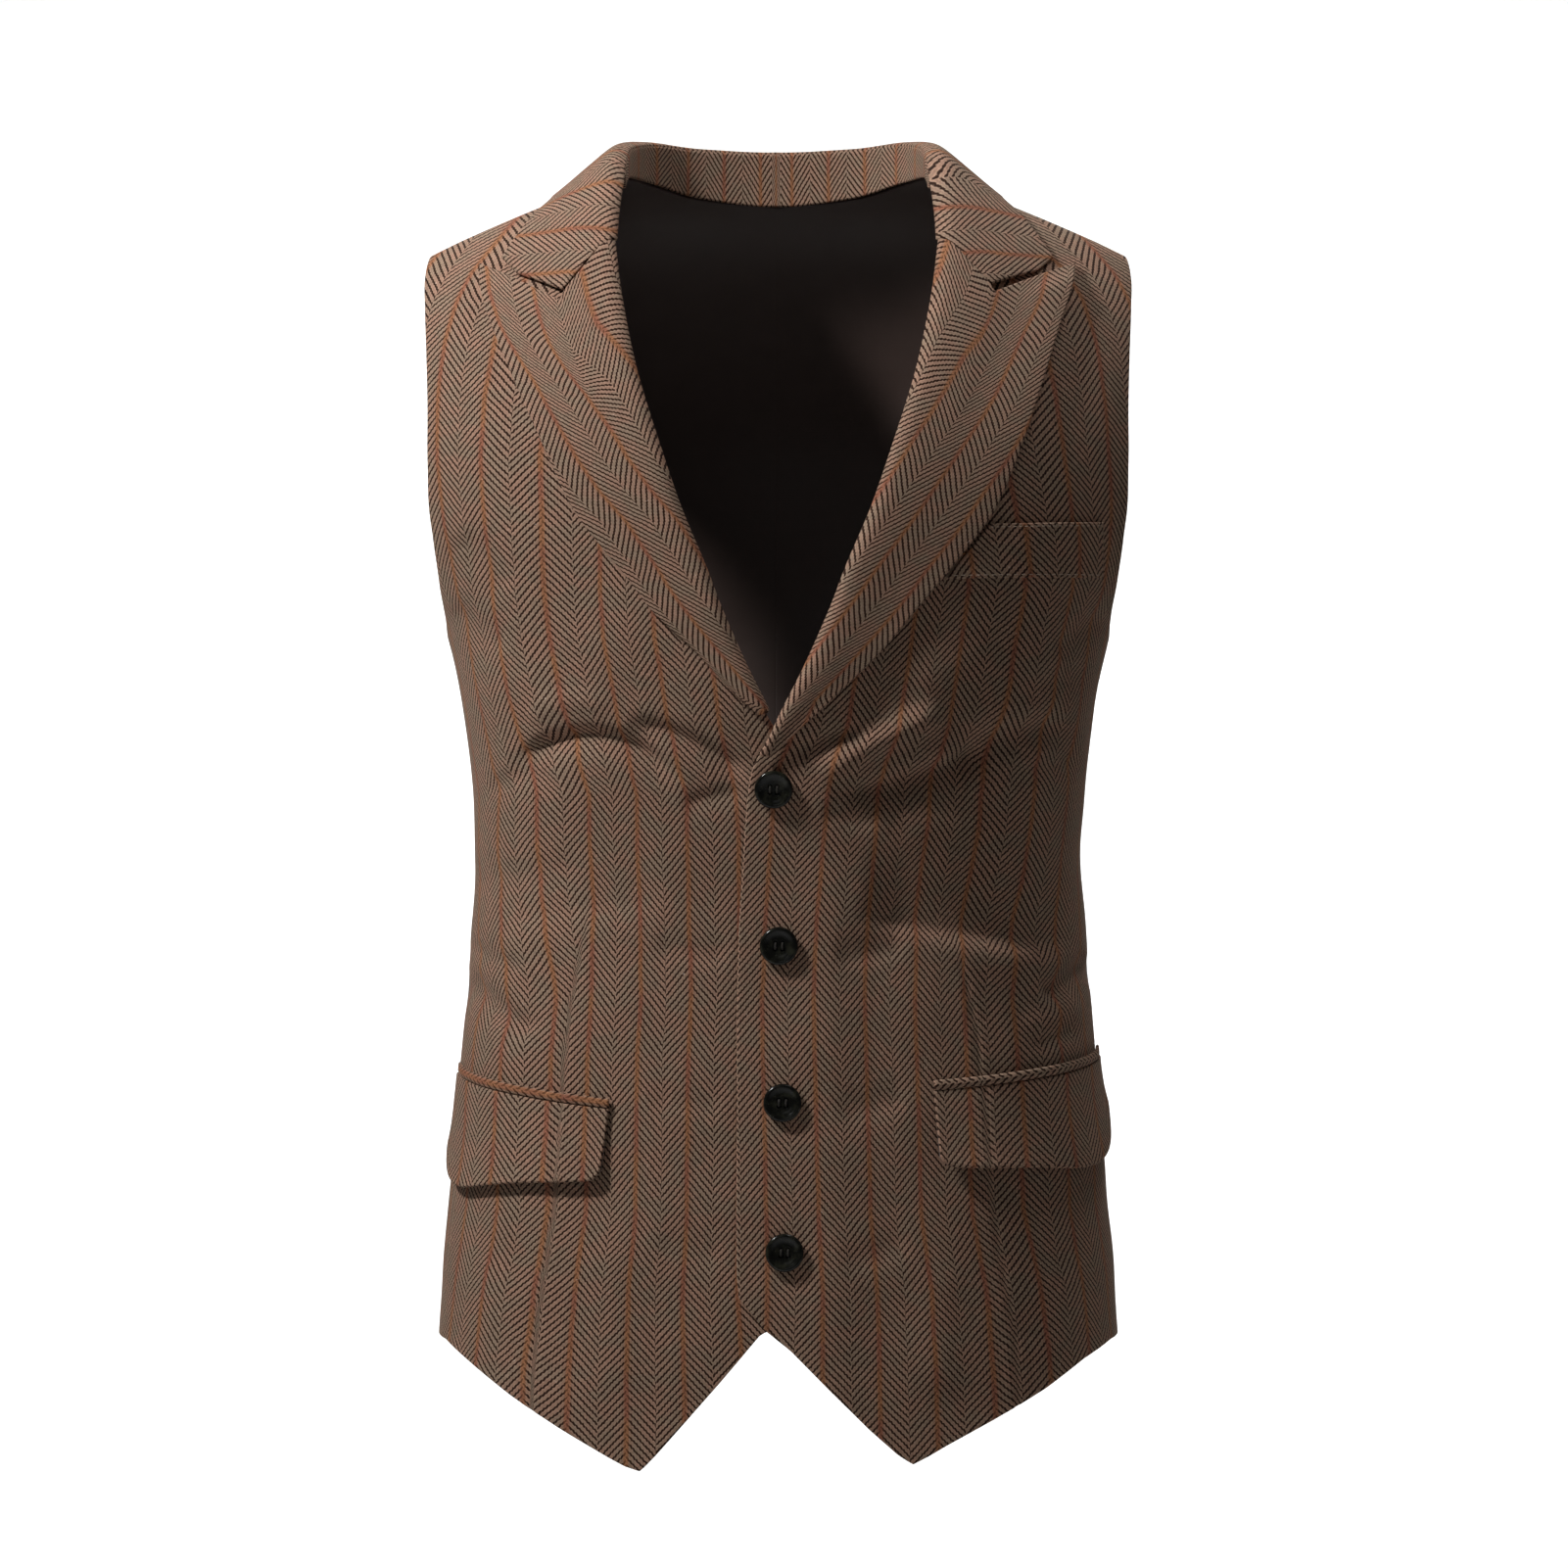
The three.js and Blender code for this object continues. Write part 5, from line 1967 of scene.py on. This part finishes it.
@dataclass
class Buttons:
    """Four-hole buttons down the closing, each sewn on with two bars of thread."""

    finishes: Finishes
    places: tuple[tuple[float, float], ...] = ((-2.4, -296), (0.2, -374.5), (2.0, -452.6), (3.0, -526.7))
    hole_radius: float = 0.95
    hole_offset: float = 1.75
    hole_depth: float = 1.45
    hole_soft: float = 0.12
    well_from: int = 8
    thread_radius: float = 0.24
    thread_high: float = 2.12
    thread_pile: float = 0.16
    thread_dip: float = 1.5
    thread_reach: float = 0.1
    strands: tuple[float, ...] = (-0.3, 0.28, 0.0)
    corners: int = 112
    profile: Table = Table(
        ("at", "out", "up"),
        (
            (0, 0.0, 0.0),
            (1, 4.0, 0.0),
            (2, 7.6, 0.05),
            (3, 8.8, 0.5),
            (4, 9.45, 1.3),
            (5, 9.5, 2.0),
            (6, 9.15, 2.75),
            (7, 8.4, 3.2),
            (8, 7.4, 3.05),
            (9, 6.2, 2.45),
            (10, 5.0, 2.1),
            (11, 3.4, 1.95),
            (12, 1.6, 1.9),
            (13, 0.0, 1.9),
        ),
    )

    def frame_at(self, x: float, z: float) -> tuple[Array, Array]:
        """Where a button sits and how it is turned.

        Args:
            x: Its middle across.
            z: Its middle's height.

        Returns:
            Its seat, and its three directions as rows: right, up the front, and out.
        """
        out = np.array(x - FIGURE.centre_shift)
        turn, down = FIGURE.chart(out, np.array(z, float), Half.FRONT)
        seat, above = (
            BODY.on_turn(turn, down, LAY_GAP + lift, Side.LEFT, Half.FRONT)[0] for lift in (0, 5)
        )
        axis = unit(above - seat)
        right = unit(np.array([1.0, 0, 0]) - axis * axis[0])
        return seat, np.stack([right, np.cross(axis, right), axis])

    def disc(self) -> tuple[Array, list[Array]]:
        """A turned disc: its profile swept round, sunk by a soft step in each of the four holes.

        Returns:
            The points, and the quads and triangles between them.
        """
        rim, last = self.well_from, len(self.profile.rows) - 1
        at = np.concatenate([np.linspace(0, rim, 34)[1:], np.linspace(rim, last, 58)[1:-1]])
        angle = np.linspace(0, FULL, self.corners, endpoint=False)
        out = self.profile.read("at", "out", at)[:, None]
        x, y = out * np.cos(angle), out * np.sin(angle)
        up = np.broadcast_to(self.profile.read("at", "up", at)[:, None], x.shape).copy()
        near = np.hypot(np.abs(x) - self.hole_offset, np.abs(y) - self.hole_offset)
        sunk = self.hole_depth * ease((self.hole_radius + self.hole_soft - near) / (2 * self.hole_soft))
        up -= np.where(at[:, None] > rim, sunk, 0)
        middles = [[0, 0, end] for end in self.profile.column("up")[[0, -1]]]
        points = np.concatenate([vec(x, y, up).reshape(-1, 3), middles])
        rows, cols = x.shape
        number = np.arange(rows * cols).reshape(rows, cols)
        foot, face = number[0], number[-1]
        low = np.stack([np.full(cols, rows * cols), np.roll(foot, -1), foot], -1)
        top = np.stack([np.full(cols, rows * cols + 1), face, np.roll(face, -1)], -1)
        return points, [ring_quads(number), np.concatenate([low, top])]

    def bars(self) -> Array:
        """Thread paths in the button's own frame: three strands over each pair of holes.

        Returns:
            Array of paths, points and coordinates.
        """
        s = np.linspace(-1, 1, 13)
        reach = self.hole_offset + self.thread_reach
        paths = []
        for x in (-self.hole_offset, self.hole_offset):
            for k, shift in enumerate(self.strands):
                height = self.thread_high + self.thread_pile * k + 0.1 - self.thread_dip * np.abs(s) ** 6
                paths.append(vec(x + shift + 0.08 * s, s * reach, height))
        return np.stack(paths)

    def build(self) -> None:
        """Makes the four buttons and their threads."""
        disc, faces = self.disc()
        for number, (x, z) in enumerate(self.places, 1):
            seat, axes = self.frame_at(x, z)
            piece = make_object(f"horn_button_{number}", disc @ axes + seat, faces)
            dress(piece, [self.finishes.button], "button", f"button_{number}")
            thread = tubes(f"button_thread_{number}", self.bars() @ axes + seat, self.thread_radius, 10)
            dress(thread, [self.finishes.dark_thread], "button")


# Studio


@dataclass(frozen=True)
class Lamp:
    """One square area light that faces a point: its side in metres and its beam's spread in degrees."""

    name: str
    place: Place
    aim: Place
    size: float
    watts: float
    spread: float = 180.0

    def build(self) -> None:
        """Makes the light, turned to its aim."""
        data = bpy.data.lights.new(self.name, "AREA")
        data.size, data.energy, data.spread = self.size, self.watts, math.radians(self.spread)
        lamp = bpy.data.objects.new(self.name, data)
        lamp.location = self.place
        lamp.rotation_euler = (Vector(self.aim) - Vector(self.place)).to_track_quat("-Z", "Y").to_euler()
        bpy.context.scene.collection.objects.link(lamp)


@dataclass
class Studio:
    """Pale seamless floor, soft lights and the camera. Sizes in metres."""

    lamps: tuple[Lamp, ...] = (
        Lamp("key", (-1.1, -0.72, 1.0), (0.0, 0.0, -0.2), 0.2, 27.5),
        Lamp("front", (-0.5, -2.6, 0.6), (0.0, 0.0, -0.3), 1.0, 1.0),
        Lamp("top", (0.45, -0.05, 1.1), (0.13, 0.0, -0.05), 0.4, 6.0),
        Lamp("paper_left", (-2.0, 2.2, -0.15), (0.0, 4.2, -0.15), 0.9, 22.0, 95.0),
        Lamp("paper_right", (2.0, 2.2, -0.15), (0.0, 4.2, -0.15), 0.9, 22.0, 95.0),
    )
    world_light: float = 0.05
    sweep_radius: float = 0.9
    sweep_front: float = -4.5
    sweep_bend: float = 3.3
    sweep_top: float = 4.0
    distance: float = 3.0
    frame_width: float = 0.8085
    centre_x: float = 0.0028
    centre_z: float = -0.294
    floor: float = -1.35
    sensor: float = 36.0

    def backdrop(self) -> None:
        """A floor that curves up into a wall: a quarter circle between two flats."""
        bend, radius = np.linspace(0, QUARTER, 24), self.sweep_radius
        y = self.sweep_bend + radius * np.sin(bend)
        y = np.concatenate([[self.sweep_front], y, [self.sweep_bend + radius]])
        z = np.concatenate([[0], radius * (1 - np.cos(bend)), [self.sweep_top]]) + self.floor
        x = np.array([self.sweep_front, -self.sweep_front])
        points = vec(x[None, :], y[:, None], z[:, None]).reshape(-1, 3) / MM
        number = np.arange(len(y) * 2).reshape(-1, 2)
        quads = np.stack([number[:-1, 0], number[:-1, 1], number[1:, 1], number[1:, 0]], -1)
        sweep = make_object("studio_sweep", points, [quads])
        t = Tree("studio_paper")
        place = t.node("ShaderNodeTexCoord", {}, {}, "Object")
        soft = t.noise(place, 2.0, 1.0)
        paper = t.finish({"Base Color": (0.93, 0.93, 0.925, 1), "Roughness": 0.85 + soft * 0.1})
        sweep.data.materials.append(paper)

    def camera(self) -> None:
        """A long lens, level with the middle of the waistcoat."""
        data = bpy.data.cameras.new("camera")
        data.sensor_width = self.sensor
        data.lens = self.sensor * self.distance / self.frame_width
        data.clip_end = 50
        camera = bpy.data.objects.new("camera", data)
        camera.location = (self.centre_x, -self.distance, self.centre_z)
        camera.rotation_euler = (QUARTER, 0, 0)
        bpy.context.scene.collection.objects.link(camera)
        bpy.context.scene.camera = camera

    def build(self) -> None:
        """Makes the backdrop, the lights, the world and the camera."""
        self.backdrop()
        self.camera()
        for lamp in self.lamps:
            lamp.build()
        world = bpy.data.worlds.new("studio")
        bpy.context.scene.world = world
        world.use_nodes = True
        sky = world.node_tree.nodes["Background"]
        sky.inputs["Color"].default_value = (1.0, 1.0, 1.0, 1)
        sky.inputs["Strength"].default_value = self.world_light
        bpy.context.scene.view_settings.view_transform = "Standard"


def main() -> None:
    """Builds the waistcoat in order, then the studio."""
    logging.basicConfig(level=logging.INFO, format="%(name)s: %(message)s")
    finishes = Finishes.make()
    Studio().build()
    for side in Side:
        Front(side, finishes).build()
        Back(side, finishes).build()
        Lapel(side, finishes).build()
        HipPocket(side, finishes).build()
    Collar(finishes).build()
    BreastWelt(finishes).build()
    Buttons(finishes).build()


if __name__ == "__main__":
    main()
